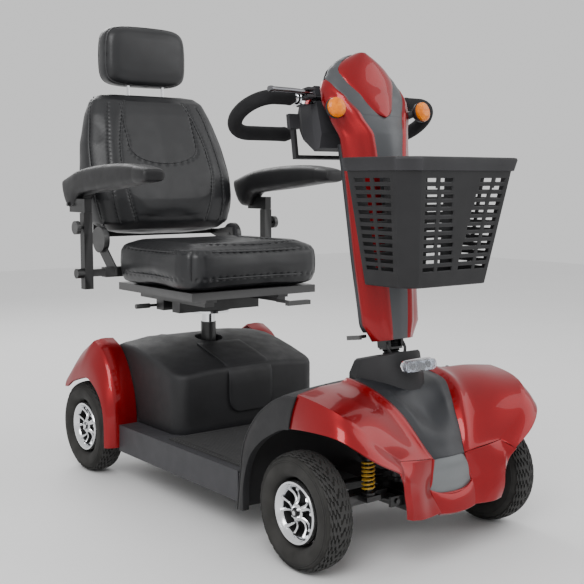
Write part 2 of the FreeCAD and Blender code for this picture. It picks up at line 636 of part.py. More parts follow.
def seatFrame():
    rails = [block("upper_rail%d" % i, (x, x + " + 34"), (122, 472), ("slide_height", "frame_height"))
             for i, x in enumerate(("-rail_line - 17", "rail_line - 17"))]
    pan = block("seat_pan", (-205, 205), (84, 484), ("frame_height", "frame_height + 21"))
    bar, mid = "arm_bar_line", "arm_bar_height"
    across = block("arm_tube", (-260, 260), (bar + " - 14", bar + " + 14"), (mid + " - 14", mid + " + 14"))
    inside = block("arm_tube_inside", (-270, 270), (bar + " - 10.3", bar + " + 10.3"),
                   (mid + " - 10.3", mid + " + 10.3"))
    legs = [block("arm_tube_leg%d" % i, (x, x + 40), (452, 484), ("frame_height + 8", mid + " - 13"))
            for i, x in enumerate((-150, 110))]
    sides = []
    for i, (low, high) in enumerate((("plate_at", "plate_at + 6"), ("-plate_at - 6", "-plate_at"))):
        sides.append(prism("recline_plate%d" % i, [(452, 566), (484, 566), (562, 640), (562, 690),
                                                   (520, 690), (516, 650), (452, 590)], low, high, SIDE_VIEW))
        sides.append(rod("recline_disc%d" % i, 38, 14, "%s" % (low if i == 0 else "-plate_at - 14"),
                         "recline_line", "recline_height", ALONG_X))
    pins = [rod("recline_pin%d" % i, 7, 20, x, "recline_line", "recline_height", ALONG_X)
            for i, x in enumerate((-236, 216))]
    whole = fuse("seat_frame_whole", rails[0], rails[1], pan, across, *legs, *sides, *pins)
    node("seat_frame", cut("seat_frame_cut", whole, inside))
    cushion = block("cushion_block", (-234, 234), (60, 449), (548, 668))
    node("seat_cushion", softened("cushion_soft", cushion, 24))
    handle = fuse("slide_handle", block("slide_arm", (86, 94), (40, 110), (500, 508)),
                  block("slide_grip", (66, 142), (24, 40), (498, 510)))
    node("slide_lever", handle)


def backrest():
    side = [(500, 704), (510, 690), (640, 684), (664, 696), (690, 880), (706, 1080), (694, 1104),
            (660, 1108), (634, 1092), (590, 960), (540, 820)]
    half = [(200, 680), (213, 700), (214, 752), (240, 800), (258, 860), (254, 920), (226, 1020),
            (200, 1090), (176, 1110)]
    front = [("-%s" % x, v) for x, v in half] + [(x, v) for x, v in reversed(half)]
    body = common("back_pad", prism("back_side", side, -270, 270, SIDE_VIEW),
                  prism("back_front", front, 480, 730, FRONT_VIEW))
    bores = [rod("back_bore%d" % i, 5.4, 120, x, 676, 1000) for i, x in enumerate((-60, 60))]
    node("backrest_cushion", cut("back_pad_bored", body, *bores))
    plates, board = [], [(667, 700), (693, 880), (709, 1080), (716, 1080), (700, 880), (674, 700)]
    ends = (("plate_at - 8", "plate_at - 0.4"), ("-plate_at + 0.4", "-plate_at + 8"))
    for i, (low, high) in enumerate(ends):
        plates.append(prism("back_plate%d" % i, [(518, 650), (560, 644), (650, 668), (656, 682), (600, 684),
                                                 (560, 690), (520, 690)], low, high, SIDE_VIEW))
    pin_holes = rod("back_pin_hole", 7.06, 600, -300, "recline_line", "recline_height", ALONG_X)
    bar = block("back_bar", ("-plate_at + 2", "plate_at - 2"), (634, 658), (668, 681))
    foot = block("back_foot", (-190, 190), (650, 674), (668, 681))
    heel = block("back_heel", (-190, 190), (666.5, 674), (668, 704))
    tapered = [(-190, 660), (-190, 840), (-166, 1050), (-140, 1090), (140, 1090), (166, 1050), (190, 840),
               (190, 660)]
    panel = common("back_board", prism("board_side", board, -190, 190, SIDE_VIEW),
                   prism("board_front", tapered, 660, 720, FRONT_VIEW))
    node("backrest_frame", cut("back_frame_cut", fuse("back_frame_whole", *plates, bar, foot, heel, panel),
                               pin_holes))
    posts = [rod("head_post%d" % i, 5, 110, x, 676, 1022) for i, x in enumerate((-60, 60))]
    node("headrest_posts", *posts)
    side = [(650, 1160), (672, 1128), (716, 1120), (738, 1150), (740, 1260), (722, 1306), (690, 1313),
            (656, 1296), (644, 1230)]
    front = [(-130, 1120), (-148, 1160), (-148, 1270), (-120, 1313), (120, 1313), (148, 1270), (148, 1160),
             (130, 1120)]
    pad = common("head_pad", prism("head_side", side, -150, 150, SIDE_VIEW),
                 prism("head_front", front, 600, 760, FRONT_VIEW))
    holes = [rod("head_hole%d" % i, 5, 20, x, 676, 1112.01) for i, x in enumerate((-60, 60))]
    node("headrest_cushion", cut("head_pad_bored", pad, *holes))


def armrest(side, sign):
    """The rider's right armrest: a leg in the seat's cross tube, a stem that slides in
    the upright, and a pad that swings up about the stem's head."""
    bar, mid, at = "arm_bar_line", "arm_bar_height", "-upright_at"
    leg = block("arm_leg_" + side, (at, "-160"), (bar + " - 10", bar + " + 10"),
                (mid + " - 10", mid + " + 10"))
    tube = block("arm_tube_" + side, (at + " - 13", at + " + 13"), (bar + " - 13", bar + " + 13"), (532, 747))
    inside = block("arm_socket_" + side, (at + " - 10.3", at + " + 10.3"), (bar + " - 10.3", bar + " + 10.3"),
                   (590, 760))
    lower = rod("arm_knob_" + side, 14, 22, at + " - 34", bar, mid, ALONG_X)
    upper = rod("arm_clamp_" + side, 19, 12, at + " - 36", bar, 706, ALONG_X)
    bolt = rod("arm_bolt_" + side, 4, 16, at + " - 26", bar, 706, ALONG_X)
    upright = fuse("upright_" + side, cut("upright_cut_" + side, fuse("upright_tube_" + side, leg, tube), inside),
                   lower, upper, bolt)
    stem = fuse("stem_" + side, block("stem_bar_" + side, (at + " - 10", at + " + 10"),
                                      (bar + " - 10", bar + " + 10"), (640, 752)),
                block("stem_head_" + side, (at + " - 11", at + " + 11"), (bar + " - 14", 552), (748, 786)),
                rod("stem_pin_" + side, 5, 62, "-upright_at - 24", 540, 770, ALONG_X))
    shape = [(600, 832), (574, 772), (556, 752), (528, 754), (512, 798), (470, 800), (300, 812), (124, 832),
             (104, 848), (110, 866), (160, 878), (217, 884), (330, 884), (440, 876), (540, 858), (592, 842)]
    pad = prism("pad_" + side, shape, "-pad_at - 36", "-pad_at + 36", SIDE_VIEW)
    slot = block("pad_slot_" + side, (at + " - 12", at + " + 12"), (440, 592), (740, 799))
    hole = rod("pad_hole_" + side, 5.06, 90, "-upright_at - 45", 540, 770, ALONG_X)
    pad = cut("pad_cut_" + side, pad, slot, hole)
    for kind, piece in (("upright", upright), ("stem", stem), ("pad", pad)):
        if sign > 0:
            piece = mirrored("%s_far" % kind, piece)
        node("armrest_%s_%s" % (kind, side), piece)


def checked(thing):
    """Stops the build on a failed or broken piece."""
    shape = thing.Shape
    if shape.isNull() or not shape.isValid() or not shape.Solids:
        raise RuntimeError(thing.Label + " has no valid solid")
    return shape


def build():
    wheels()
    mainFrame()
    seatSocket()
    floor()
    drive()
    rearCover()
    rearFenders()
    frontShroud()
    centrePanel()
    footwellPanel()
    neckCover()
    frontSprings()
    steering()
    tillerCovers()
    console()
    dashControls()
    handlebar()
    levers()
    lampsAndBracket()
    basket()
    seatBase()
    seatFrame()
    backrest()
    for side, sign in (("right", -1), ("left", 1)):
        armrest(side, sign)


def write():
    failed = [thing.Label for thing in doc.Objects if {"Invalid", "Error"} & set(thing.State)]
    if failed:
        raise RuntimeError("failed: " + ", ".join(failed))
    for thing in nodes:
        checked(thing)
    os.makedirs("parts", exist_ok=True)
    for thing in nodes:
        thing.Shape.exportStep("parts/%s.step" % thing.Label)


build()
doc.recompute()
write()
print("%d sub-parts written" % len(nodes))
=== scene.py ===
import json
import math
import bpy
import bmesh
import numpy as np
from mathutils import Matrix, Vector
from mathutils.bvhtree import BVHTree
from mathutils.kdtree import KDTree

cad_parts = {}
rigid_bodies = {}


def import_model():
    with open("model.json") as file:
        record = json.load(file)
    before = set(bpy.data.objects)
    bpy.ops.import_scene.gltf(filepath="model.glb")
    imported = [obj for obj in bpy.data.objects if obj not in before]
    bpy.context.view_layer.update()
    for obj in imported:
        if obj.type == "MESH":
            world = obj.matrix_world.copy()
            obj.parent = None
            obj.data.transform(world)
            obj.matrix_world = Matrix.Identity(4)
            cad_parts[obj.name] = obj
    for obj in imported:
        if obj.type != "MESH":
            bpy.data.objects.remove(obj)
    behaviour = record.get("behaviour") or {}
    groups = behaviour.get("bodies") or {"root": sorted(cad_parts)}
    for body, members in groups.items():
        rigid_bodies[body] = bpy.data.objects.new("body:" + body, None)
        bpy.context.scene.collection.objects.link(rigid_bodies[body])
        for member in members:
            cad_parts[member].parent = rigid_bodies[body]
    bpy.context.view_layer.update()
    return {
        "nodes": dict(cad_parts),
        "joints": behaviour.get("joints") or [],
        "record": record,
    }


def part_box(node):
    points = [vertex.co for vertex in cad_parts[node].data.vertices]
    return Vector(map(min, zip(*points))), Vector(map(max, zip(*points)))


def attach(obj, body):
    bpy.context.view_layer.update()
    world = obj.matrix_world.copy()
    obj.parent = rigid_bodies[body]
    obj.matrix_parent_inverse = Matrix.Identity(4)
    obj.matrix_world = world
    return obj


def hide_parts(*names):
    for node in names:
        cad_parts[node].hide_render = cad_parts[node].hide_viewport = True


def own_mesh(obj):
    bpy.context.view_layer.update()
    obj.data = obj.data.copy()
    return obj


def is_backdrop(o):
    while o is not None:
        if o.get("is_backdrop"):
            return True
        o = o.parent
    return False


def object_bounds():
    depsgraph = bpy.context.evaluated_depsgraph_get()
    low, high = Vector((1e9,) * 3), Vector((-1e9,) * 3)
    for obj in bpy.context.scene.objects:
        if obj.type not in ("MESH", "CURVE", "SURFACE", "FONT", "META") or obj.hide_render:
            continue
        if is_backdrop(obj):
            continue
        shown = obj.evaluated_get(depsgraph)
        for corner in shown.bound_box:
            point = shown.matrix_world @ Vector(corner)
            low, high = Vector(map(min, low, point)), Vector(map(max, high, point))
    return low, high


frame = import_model()
joints = {joint["name"]: joint for joint in frame["joints"]}


def jointSpot(name):
    return Vector(joints[name]["pos_m"])


# drawings are in millimetres from the point midway between the axles, on the ground
axleMiddle = (jointSpot("front_wheel_right").y + jointSpot("rear_wheel_right").y) / 2
tiltPin = jointSpot("tiller_tilt")
tillerUp = Vector(joints["steering"]["axis"])
tillerBack = Vector((0, tillerUp.z, -tillerUp.y))
mm = 0.001
sides = {"right": -1, "left": 1}


def at(x, y, z):
    return Vector((x * mm, y * mm + axleMiddle, z * mm))


def onTiller(x, back, up):
    return tiltPin + Vector((x * mm, 0, 0)) + tillerBack * back * mm + tillerUp * up * mm


# finishes: one node material each, with its own colour drift, grain and wear
def newFinish(name, look):
    mat = bpy.data.materials.new(name)
    mat.use_nodes = True
    nodes, links = mat.node_tree.nodes, mat.node_tree.links
    shader = nodes["Principled BSDF"]
    place = nodes.new("ShaderNodeTexCoord")

    def noise(scale, detail, rough=0.5):
        made = nodes.new("ShaderNodeTexNoise")
        made.inputs["Scale"].default_value = scale
        made.inputs["Detail"].default_value = detail
        made.inputs["Roughness"].default_value = rough
        links.new(place.outputs["Object"], made.inputs["Vector"])
        return made

    def spread(source, low, high):
        made = nodes.new("ShaderNodeMapRange")
        made.inputs["From Min"].default_value = 0.3
        made.inputs["From Max"].default_value = 0.7
        made.inputs["To Min"].default_value = low
        made.inputs["To Max"].default_value = high
        links.new(source, made.inputs["Value"])
        return made.outputs["Result"]

    drift = noise(look.get("driftScale", 9), 4)
    ramp = nodes.new("ShaderNodeValToRGB")
    base, shift = look["colour"], look.get("drift", 0.12)
    ramp.color_ramp.elements[0].position, ramp.color_ramp.elements[1].position = 0.3, 0.7
    ramp.color_ramp.elements[0].color = (*[c * (1 - shift) for c in base], 1)
    ramp.color_ramp.elements[1].color = (*[min(1, c * (1 + shift)) for c in base], 1)
    links.new(drift.outputs["Fac"], ramp.inputs["Fac"])
    colour = ramp.outputs["Color"]
    if "flake" in look:  # fine metallic specks in a paint
        flakes = nodes.new("ShaderNodeTexVoronoi")
        flakes.inputs["Scale"].default_value = look["flakeScale"]
        links.new(place.outputs["Object"], flakes.inputs["Vector"])
        mix = nodes.new("ShaderNodeMix")
        mix.data_type = "RGBA"
        mix.inputs["B"].default_value = (*look["flake"], 1)
        links.new(colour, mix.inputs["A"])
        links.new(spread(flakes.outputs["Distance"], 0.0, 0.35), mix.inputs["Factor"])
        colour = mix.outputs["Result"]
    if look.get("wear", 0) > 0:  # edges rub lighter
        edge = nodes.new("ShaderNodeNewGeometry")
        rub = nodes.new("ShaderNodeMapRange")
        rub.inputs["From Min"].default_value = 0.53
        rub.inputs["From Max"].default_value = 0.62
        rub.inputs["To Max"].default_value = look["wear"]
        links.new(edge.outputs["Pointiness"], rub.inputs["Value"])
        worn = nodes.new("ShaderNodeMix")
        worn.data_type = "RGBA"
        worn.inputs["B"].default_value = (*look["wornColour"], 1)
        links.new(colour, worn.inputs["A"])
        links.new(rub.outputs["Result"], worn.inputs["Factor"])
        colour = worn.outputs["Result"]
    links.new(colour, shader.inputs["Base Color"])
    low, high = look["rough"]
    links.new(spread(noise(look.get("roughScale", 30), 3).outputs["Fac"], low, high),
              shader.inputs["Roughness"])
    shader.inputs["Metallic"].default_value = look.get("metal", 0)
    shader.inputs["Coat Weight"].default_value = look.get("coat", 0)
    shader.inputs["Coat Roughness"].default_value = look.get("coatRough", 0.04)
    shader.inputs["Transmission Weight"].default_value = look.get("clear", 0)
    shader.inputs["IOR"].default_value = look.get("ior", 1.5)
    shader.inputs["Specular IOR Level"].default_value = look.get("shine", 0.5)
    # grain: small cells for skins, noise for mouldings, ridges for ribbed mats
    if look.get("grain") == "skin":
        cells = nodes.new("ShaderNodeTexVoronoi")
        cells.feature = "DISTANCE_TO_EDGE"
        cells.inputs["Scale"].default_value = look["grainScale"]
        links.new(place.outputs["Object"], cells.inputs["Vector"])
        height = cells.outputs["Distance"]
    elif look.get("grain") == "ribs":
        ribs = nodes.new("ShaderNodeTexWave")
        ribs.bands_direction = look.get("ribDirection", "X")
        ribs.inputs["Scale"].default_value = look["grainScale"]
        links.new(place.outputs["Object"], ribs.inputs["Vector"])
        height = ribs.outputs["Fac"]
    else:
        height = noise(look.get("grainScale", 400), 2).outputs["Fac"]
    bump = nodes.new("ShaderNodeBump")
    bump.inputs["Strength"].default_value = look.get("grainDepth", 0.1)
    bump.inputs["Distance"].default_value = look.get("grainHeight", 0.0005)
    links.new(height, bump.inputs["Height"])
    links.new(bump.outputs["Normal"], shader.inputs["Normal"])
    return mat


finishLooks = {
    "redPaint": {"colour": (0.24, 0.0008, 0.004), "shine": 0.25, "drift": 0.1,
                 "flake": (0.36, 0.002, 0.007), "flakeScale": 1600, "rough": (0.3, 0.36), "metal": 0.55,
                 "coat": 0.5, "coatRough": 0.02, "grainScale": 700, "grainDepth": 0.012, "wear": 0.1,
                 "wornColour": (0.4, 0.03, 0.03)},
    "blackMoulding": {"colour": (0.013, 0.013, 0.0142), "shine": 0.35, "drift": 0.18, "rough": (0.48, 0.6),
                      "grainScale": 900,
                      "grainDepth": 0.35, "wear": 0.35, "wornColour": (0.09, 0.09, 0.1)},
    "greyMoulding": {"colour": (0.03, 0.032, 0.036), "drift": 0.1, "rough": (0.34, 0.44), "metal": 0.2,
                     "grainScale": 1100, "grainDepth": 0.15, "wear": 0.3, "wornColour": (0.2, 0.2, 0.21)},
    "panelGrey": {"colour": (0.02, 0.0215, 0.025), "drift": 0.1, "rough": (0.32, 0.42), "metal": 0.2,
                  "shine": 0.45,
                  "grainScale": 1100, "grainDepth": 0.15, "wear": 0.3, "wornColour": (0.08, 0.08, 0.09)},
    "bandGrey": {"colour": (0.07, 0.074, 0.08), "drift": 0.08, "rough": (0.3, 0.4), "metal": 0.3,
                 "grainScale": 1100, "grainDepth": 0.12, "wear": 0.3, "wornColour": (0.2, 0.2, 0.21)},
    "silverInsert": {"colour": (0.16, 0.17, 0.175), "drift": 0.08, "rough": (0.28, 0.36), "metal": 0.45,
                     "grainScale": 1100, "grainDepth": 0.1, "wear": 0.3, "wornColour": (0.4, 0.4, 0.42)},
    "tyreRubber": {"colour": (0.027, 0.0262, 0.0245), "shine": 0.3, "drift": 0.3, "driftScale": 22,
                   "rough": (0.72, 0.88),
                   "grainScale": 320, "grainDepth": 0.4, "wear": 0.5, "wornColour": (0.05, 0.05, 0.05)},
    "machinedAlloy": {"colour": (0.74, 0.75, 0.77), "drift": 0.05, "rough": (0.14, 0.26), "metal": 1.0,
                      "grainScale": 260, "grainDepth": 0.05, "wear": 0.2, "wornColour": (0.9, 0.9, 0.92)},
    # painted shade: near black for the rims' wells and inner discs and the lamp's cells, standing in for
    # the shade in those hollows
    "darkPocket": {"colour": (0.012, 0.012, 0.013), "drift": 0.2, "rough": (0.45, 0.6), "grainScale": 500,
                   "grainDepth": 0.1, "wear": 0.2, "wornColour": (0.05, 0.05, 0.05)},
    "frameCoat": {"colour": (0.009, 0.009, 0.0095), "shine": 0.4, "drift": 0.15, "rough": (0.32, 0.45),
                  "coat": 0.25,
                  "grainScale": 380, "grainDepth": 0.18, "wear": 0.45, "wornColour": (0.14, 0.14, 0.14)},
    "chromePlate": {"colour": (0.8, 0.81, 0.83), "drift": 0.03, "rough": (0.05, 0.12), "metal": 1.0,
                    "grainScale": 150, "grainDepth": 0.02, "wear": 0.1, "wornColour": (0.6, 0.6, 0.6)},
    "springYellow": {"colour": (0.72, 0.42, 0.015), "drift": 0.12, "rough": (0.28, 0.4), "coat": 0.4,
                     "grainScale": 300, "grainDepth": 0.08, "wear": 0.35, "wornColour": (0.3, 0.24, 0.1)},
    "seatVinyl": {"colour": (0.012, 0.0125, 0.014), "shine": 0.45, "drift": 0.14, "driftScale": 14,
                  "rough": (0.34, 0.46),
                  "coat": 0.12, "coatRough": 0.3, "grain": "skin", "grainScale": 620, "grainDepth": 0.28,
                  "grainHeight": 0.0004, "wear": 0.3, "wornColour": (0.085, 0.085, 0.09)},
    "padSkin": {"colour": (0.011, 0.011, 0.012), "shine": 0.4, "drift": 0.14, "rough": (0.4, 0.52),
                "grain": "skin",
                "grainScale": 760, "grainDepth": 0.2, "wear": 0.25, "wornColour": (0.08, 0.08, 0.085)},
    "gripFoam": {"colour": (0.012, 0.012, 0.013), "shine": 0.25, "drift": 0.2, "rough": (0.75, 0.9),
                 "grain": "skin",
                 "grainScale": 950, "grainDepth": 0.45, "wear": 0.3, "wornColour": (0.07, 0.07, 0.075)},
    "amberLens": {"colour": (0.95, 0.21, 0.001), "shine": 0.3, "drift": 0.3, "driftScale": 90,
                  "rough": (0.1, 0.2), "coat": 0.12, "grain": "skin", "grainScale": 150, "grainDepth": 0.6,
                  "grainHeight": 0.001},
    "clearLens": {"colour": (0.8, 0.85, 0.93), "drift": 0.08, "driftScale": 60, "rough": (0.05, 0.12),
                  "clear": 0.85, "coat": 0.5, "grain": "ribs", "grainScale": 55, "grainDepth": 0.4},
    "redLens": {"colour": (0.6, 0.01, 0.01), "drift": 0.1, "rough": (0.06, 0.14), "coat": 1.0,
                "grain": "skin", "grainScale": 170, "grainDepth": 0.5},
    "castIron": {"colour": (0.1, 0.1, 0.105), "drift": 0.2, "rough": (0.5, 0.7), "metal": 0.6,
                 "grainScale": 220, "grainDepth": 0.5, "wear": 0.3, "wornColour": (0.3, 0.3, 0.3)},
    "matRubber": {"colour": (0.012, 0.012, 0.013), "shine": 0.3, "drift": 0.2, "rough": (0.6, 0.78),
                  "grain": "ribs",
                  "grainScale": 42, "grainDepth": 0.7, "grainHeight": 0.0012, "wear": 0.3,
                  "wornColour": (0.09, 0.09, 0.09)},
    "polishedLever": {"colour": (0.16, 0.16, 0.17), "drift": 0.05, "rough": (0.16, 0.26), "metal": 1.0,
                      "grainScale": 240, "grainDepth": 0.04, "wear": 0.1, "wornColour": (0.9, 0.9, 0.9)},
    "keyNickel": {"colour": (0.62, 0.57, 0.44), "drift": 0.06, "rough": (0.2, 0.34), "metal": 1.0,
                  "grainScale": 240, "grainDepth": 0.1, "wear": 0.2, "wornColour": (0.85, 0.8, 0.7)},
    "cableSheath": {"colour": (0.014, 0.014, 0.015), "drift": 0.2, "rough": (0.42, 0.55), "grainScale": 500,
                    "grainDepth": 0.1, "wear": 0.2, "wornColour": (0.05, 0.05, 0.05)},
    "paleDial": {"colour": (0.6, 0.61, 0.6), "drift": 0.05, "rough": (0.35, 0.45), "grainScale": 500,
                 "grainDepth": 0.05, "wear": 0.1, "wornColour": (0.8, 0.8, 0.8)},
    "studioFloor": {"colour": (0.86, 0.86, 0.86), "drift": 0.01, "driftScale": 2, "rough": (0.6, 0.7),
                    "grainScale": 40, "grainDepth": 0.01},
}
finishes = {name: newFinish(name, look) for name, look in finishLooks.items()}
slotFinish = {
    "red_paint": "redPaint", "black_moulding": "blackMoulding", "grey_moulding": "greyMoulding",
    "tyre_rubber": "tyreRubber", "alloy": "machinedAlloy", "frame_paint": "frameCoat",
    "chromed_steel": "chromePlate", "spring_paint": "springYellow", "seat_vinyl": "seatVinyl",
    "arm_foam": "padSkin", "grip_foam": "gripFoam", "amber_lens": "amberLens", "clear_lens": "clearLens",
    "battery_case": "blackMoulding", "drive_casting": "castIron", "mat_rubber": "matRubber",
    "lever_alloy": "polishedLever", "key_metal": "keyNickel",
}
for part in frame["record"]["subparts"]:
    slots = frame["nodes"][part["node"]].material_slots
    for held in slots:
        held.material = finishes[slotFinish[part["material_slot"]]]
print("finishes made:", len(finishes))


# making pieces
def finishPiece(piece, finish, body, stands=()):
    piece.data.materials.clear()
    piece.data.materials.append(finishes[finish])
    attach(piece, body)
    if stands:
        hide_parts(*stands)
    return piece


def meshPiece(name, points, faces, finish, body, stands=(), slot=None, sharp=35):
    mesh = bpy.data.meshes.new(name)
    mesh.from_pydata([tuple(p) for p in points], [], faces)
    tidyMesh(mesh, sharp)
    piece = bpy.data.objects.new(name, mesh)
    bpy.context.collection.objects.link(piece)
    return finishPiece(piece, finish, body, stands)


def tidyMesh(mesh, sharp):
    work = bmesh.new()
    work.from_mesh(mesh)
    bmesh.ops.remove_doubles(work, verts=work.verts, dist=0.00002)
    bmesh.ops.dissolve_degenerate(work, edges=work.edges, dist=0.00001)
    bmesh.ops.recalc_face_normals(work, faces=work.faces)
    for face in work.faces:
        face.smooth = True
    for edge in work.edges:
        bent = len(edge.link_faces) == 2 and edge.calc_face_angle(0) > math.radians(sharp)
        edge.smooth = not bent
    work.to_mesh(mesh)
    work.free()


def thicken(piece, depth):
    shell = piece.modifiers.new("thickness", "SOLIDIFY")
    shell.thickness, shell.offset = depth * mm, 0
    return piece


def rounded(piece, width, steps=2, angle=40):
    soft = piece.modifiers.new("rounded", "BEVEL")
    soft.width, soft.segments = width * mm, steps
    soft.limit_method, soft.angle_limit = "ANGLE", math.radians(angle)
    return piece


def smoothLine(points, steps, corners=()):
    # a curve through the points that stays sharp at the listed ones
    points = [Vector(p) for p in points]
    last = len(points) - 1
    line = []
    for i in range(last):
        a, b = points[i], points[i + 1]
        before = a - (b - a) if i == 0 or i in corners else points[i - 1]
        after = b + (b - a) if i + 1 == last or i + 1 in corners else points[i + 2]
        for step in range(steps):
            t = step / steps
            line.append(0.5 * (2 * a + (b - before) * t + (2 * before - 5 * a + 4 * b - after) * t * t
                               + (3 * a - before - 3 * b + after) * t ** 3))
    return line + [points[-1]]


def surface(rows, steps, cornersAcross=(), cornersAlong=()):
    # rows of points, smoothed both ways
    across = [smoothLine(row, steps, cornersAcross) for row in rows]
    along = [smoothLine(column, steps, cornersAlong) for column in zip(*across)]
    return [list(row) for row in zip(*along)]


def gridFaces(rowCount, columnCount, closed=False):
    faces = []
    for i in range(rowCount - 1):
        for j in range(columnCount if closed else columnCount - 1):
            k = (j + 1) % columnCount
            faces.append((i * columnCount + j, i * columnCount + k, (i + 1) * columnCount + k,
                          (i + 1) * columnCount + j))
    return faces


def sheetPiece(name, grid, depth, finish, body, **more):
    # a thin sheet laid over a grid of points, with softened edges
    points = [p for row in grid for p in row]
    piece = meshPiece(name, points, gridFaces(len(grid), len(grid[0])), finish, body, **more)
    return rounded(thicken(piece, depth), min(1.2, depth * 0.3), 2, 50)


def tubeMesh(points, radius, facets=14, closed=False):
    # a round tube along a line, with flat ends
    points = [Vector(p) for p in points]
    rings, faces, guide = [], [], Vector((0.13, 0.27, 0.95))
    count = len(points)
    for i, p in enumerate(points):
        ahead = points[(i + 1) % count] if closed or i < count - 1 else p
        behind = points[i - 1] if closed or i > 0 else p
        along = (ahead - behind).normalized()
        across = along.cross(guide).normalized()
        guide = across.cross(along).normalized()
        width = radius(i / max(1, count - 1)) if callable(radius) else radius
        for s in range(facets):
            turn = 2 * math.pi * s / facets
            rings.append(p + (across * math.cos(turn) + guide * math.sin(turn)) * width * mm)
    for i in range(count if closed else count - 1):
        j = (i + 1) % count
        for s in range(facets):
            t = (s + 1) % facets
            faces.append((i * facets + s, i * facets + t, j * facets + t, j * facets + s))
    if not closed:
        faces += [tuple(range(facets)), tuple(range((count - 1) * facets, count * facets))]
    return rings, faces


def turned(profile, middle, axis, steps=48, closed=False):
    # (distance along the axis, radius) points spun round it
    axis = Vector(axis).normalized()
    first = axis.orthogonal().normalized()
    second = axis.cross(first)
    points, count = [], len(profile)
    for s in range(steps):
        turn = 2 * math.pi * s / steps
        outward = first * math.cos(turn) + second * math.sin(turn)
        points += [middle + axis * along * mm + outward * radius * mm for along, radius in profile]
    faces = []
    for s in range(steps):
        t = (s + 1) % steps
        for i in range(count if closed else count - 1):
            j = (i + 1) % count
            faces.append((s * count + i, s * count + j, t * count + j, t * count + i))
    if not closed:
        faces += [tuple(s * count for s in range(steps)),
                  tuple(s * count + count - 1 for s in range(steps))]
    return points, faces


class Gathered:
    # several simple shapes kept together as one mesh
    def __init__(self):
        self.points, self.faces = [], []

    def add(self, made):
        points, faces = made
        start = len(self.points)
        self.points += points
        self.faces += [tuple(start + i for i in face) for face in faces]

    def shape(self):
        return self.points, self.faces


def screw(name, middle, axis, radius, body, finish="frameCoat"):
    # a low domed head with a hexagon socket
    head = Gathered()
    head.add(turned([(-1, radius), (radius * 0.35, radius), (radius * 0.6, radius * 0.7),
                     (radius * 0.62, radius * 0.5)],
                    middle, axis, 20))
    head.add(turned([(radius * 0.62, radius * 0.5), (radius * 0.2, radius * 0.48)], middle, axis, 6))
    return meshPiece(name, *head.shape(), finish, body)


# wheels
tyreLook = {"middleRadius": 100, "halfHeight": 26, "halfWidth": 38, "squareness": 2.5, "blocks": 30,
            "blockHeight": 4.0}
rimLook = {"lipRadius": 70, "wellRadius": 52, "spokes": 5, "hubRadius": 19}


def tyreSkin(centre, out, turn, around, lift=0.0):
    # a point on the tyre: turn round the axle, around the section from the outer wall over the tread
    n = 2 / tyreLook["squareness"]
    c, s = math.cos(around), math.sin(around)
    wide = (tyreLook["halfWidth"] + lift) * math.copysign(abs(c) ** n, c)
    tall = tyreLook["middleRadius"] + (tyreLook["halfHeight"] + lift) * math.copysign(abs(s) ** n, s)
    return centre + Vector((out * wide, tall * math.cos(turn), tall * math.sin(turn))) * mm


def makeTyre(centre, out, name, body, node):
    steps, section = 96, 28
    shape = Gathered()
    ring = [tyreSkin(centre, out, 2 * math.pi * i / steps, 2 * math.pi * j / section)
            for i in range(steps) for j in range(section)]
    faces = [(i * section + j, i * section + (j + 1) % section,
              ((i + 1) % steps) * section + (j + 1) % section,
              ((i + 1) % steps) * section + j) for i in range(steps) for j in range(section)]
    shape.add((ring, faces))
    count = tyreLook["blocks"]
    # tread rows: centre, two mid rows and two shoulder rows, each block a bent bar
    rows = [(0.5, 0.052), (0.435, 0.05), (0.565, 0.05), (0.365, 0.052), (0.635, 0.052), (0.295, 0.042),
            (0.705, 0.042)]
    for row, (middle, half) in enumerate(rows):
        for block in range(count):
            start = 2 * math.pi * (block + 0.5 * (row % 2)) / count
            length, skew = 2 * math.pi / count * 0.70, 2 * math.pi / count * (0.30 if row % 2 else -0.30)
            corners = []
            for k in (-1, -0.33, 0.33, 1):  # a zig-zag strip from one edge of the row to the other
                bend = skew * (0.5 if abs(k) < 0.5 else 0) * math.copysign(1, k) + skew * k * 0.6
                corners.append((middle + half * 0.62 * k, start + bend))
            points, faces = [], []
            for lift in (-1.0, tyreLook["blockHeight"]):
                shrink = 1.0 if lift < 0 else 0.9
                for where, turn in corners:
                    for end in (-0.5, 0.5):
                        points.append(tyreSkin(centre, out, turn + end * length * shrink,
                                               math.pi * where, lift))
            for k in range(3):
                a, b = 2 * k, 2 * k + 8
                faces += [(b, b + 1, b + 3, b + 2), (a, a + 2, b + 2, b), (a + 1, b + 1, b + 3, a + 3)]
            faces += [(0, 1, 9, 8), (6, 14, 15, 7)]
            shape.add((points, faces))
    for around in (0.11, 0.16, 0.89):  # moulded rings on the walls
        bead = [tyreSkin(centre, out, 2 * math.pi * i / steps, math.pi * around, 0.4) for i in range(steps)]
        shape.add(tubeMesh(bead, 0.9, 6, closed=True))
    return meshPiece(name, *shape.shape(), "tyreRubber", body, stands=(node,), slot="tyre_rubber", sharp=30)


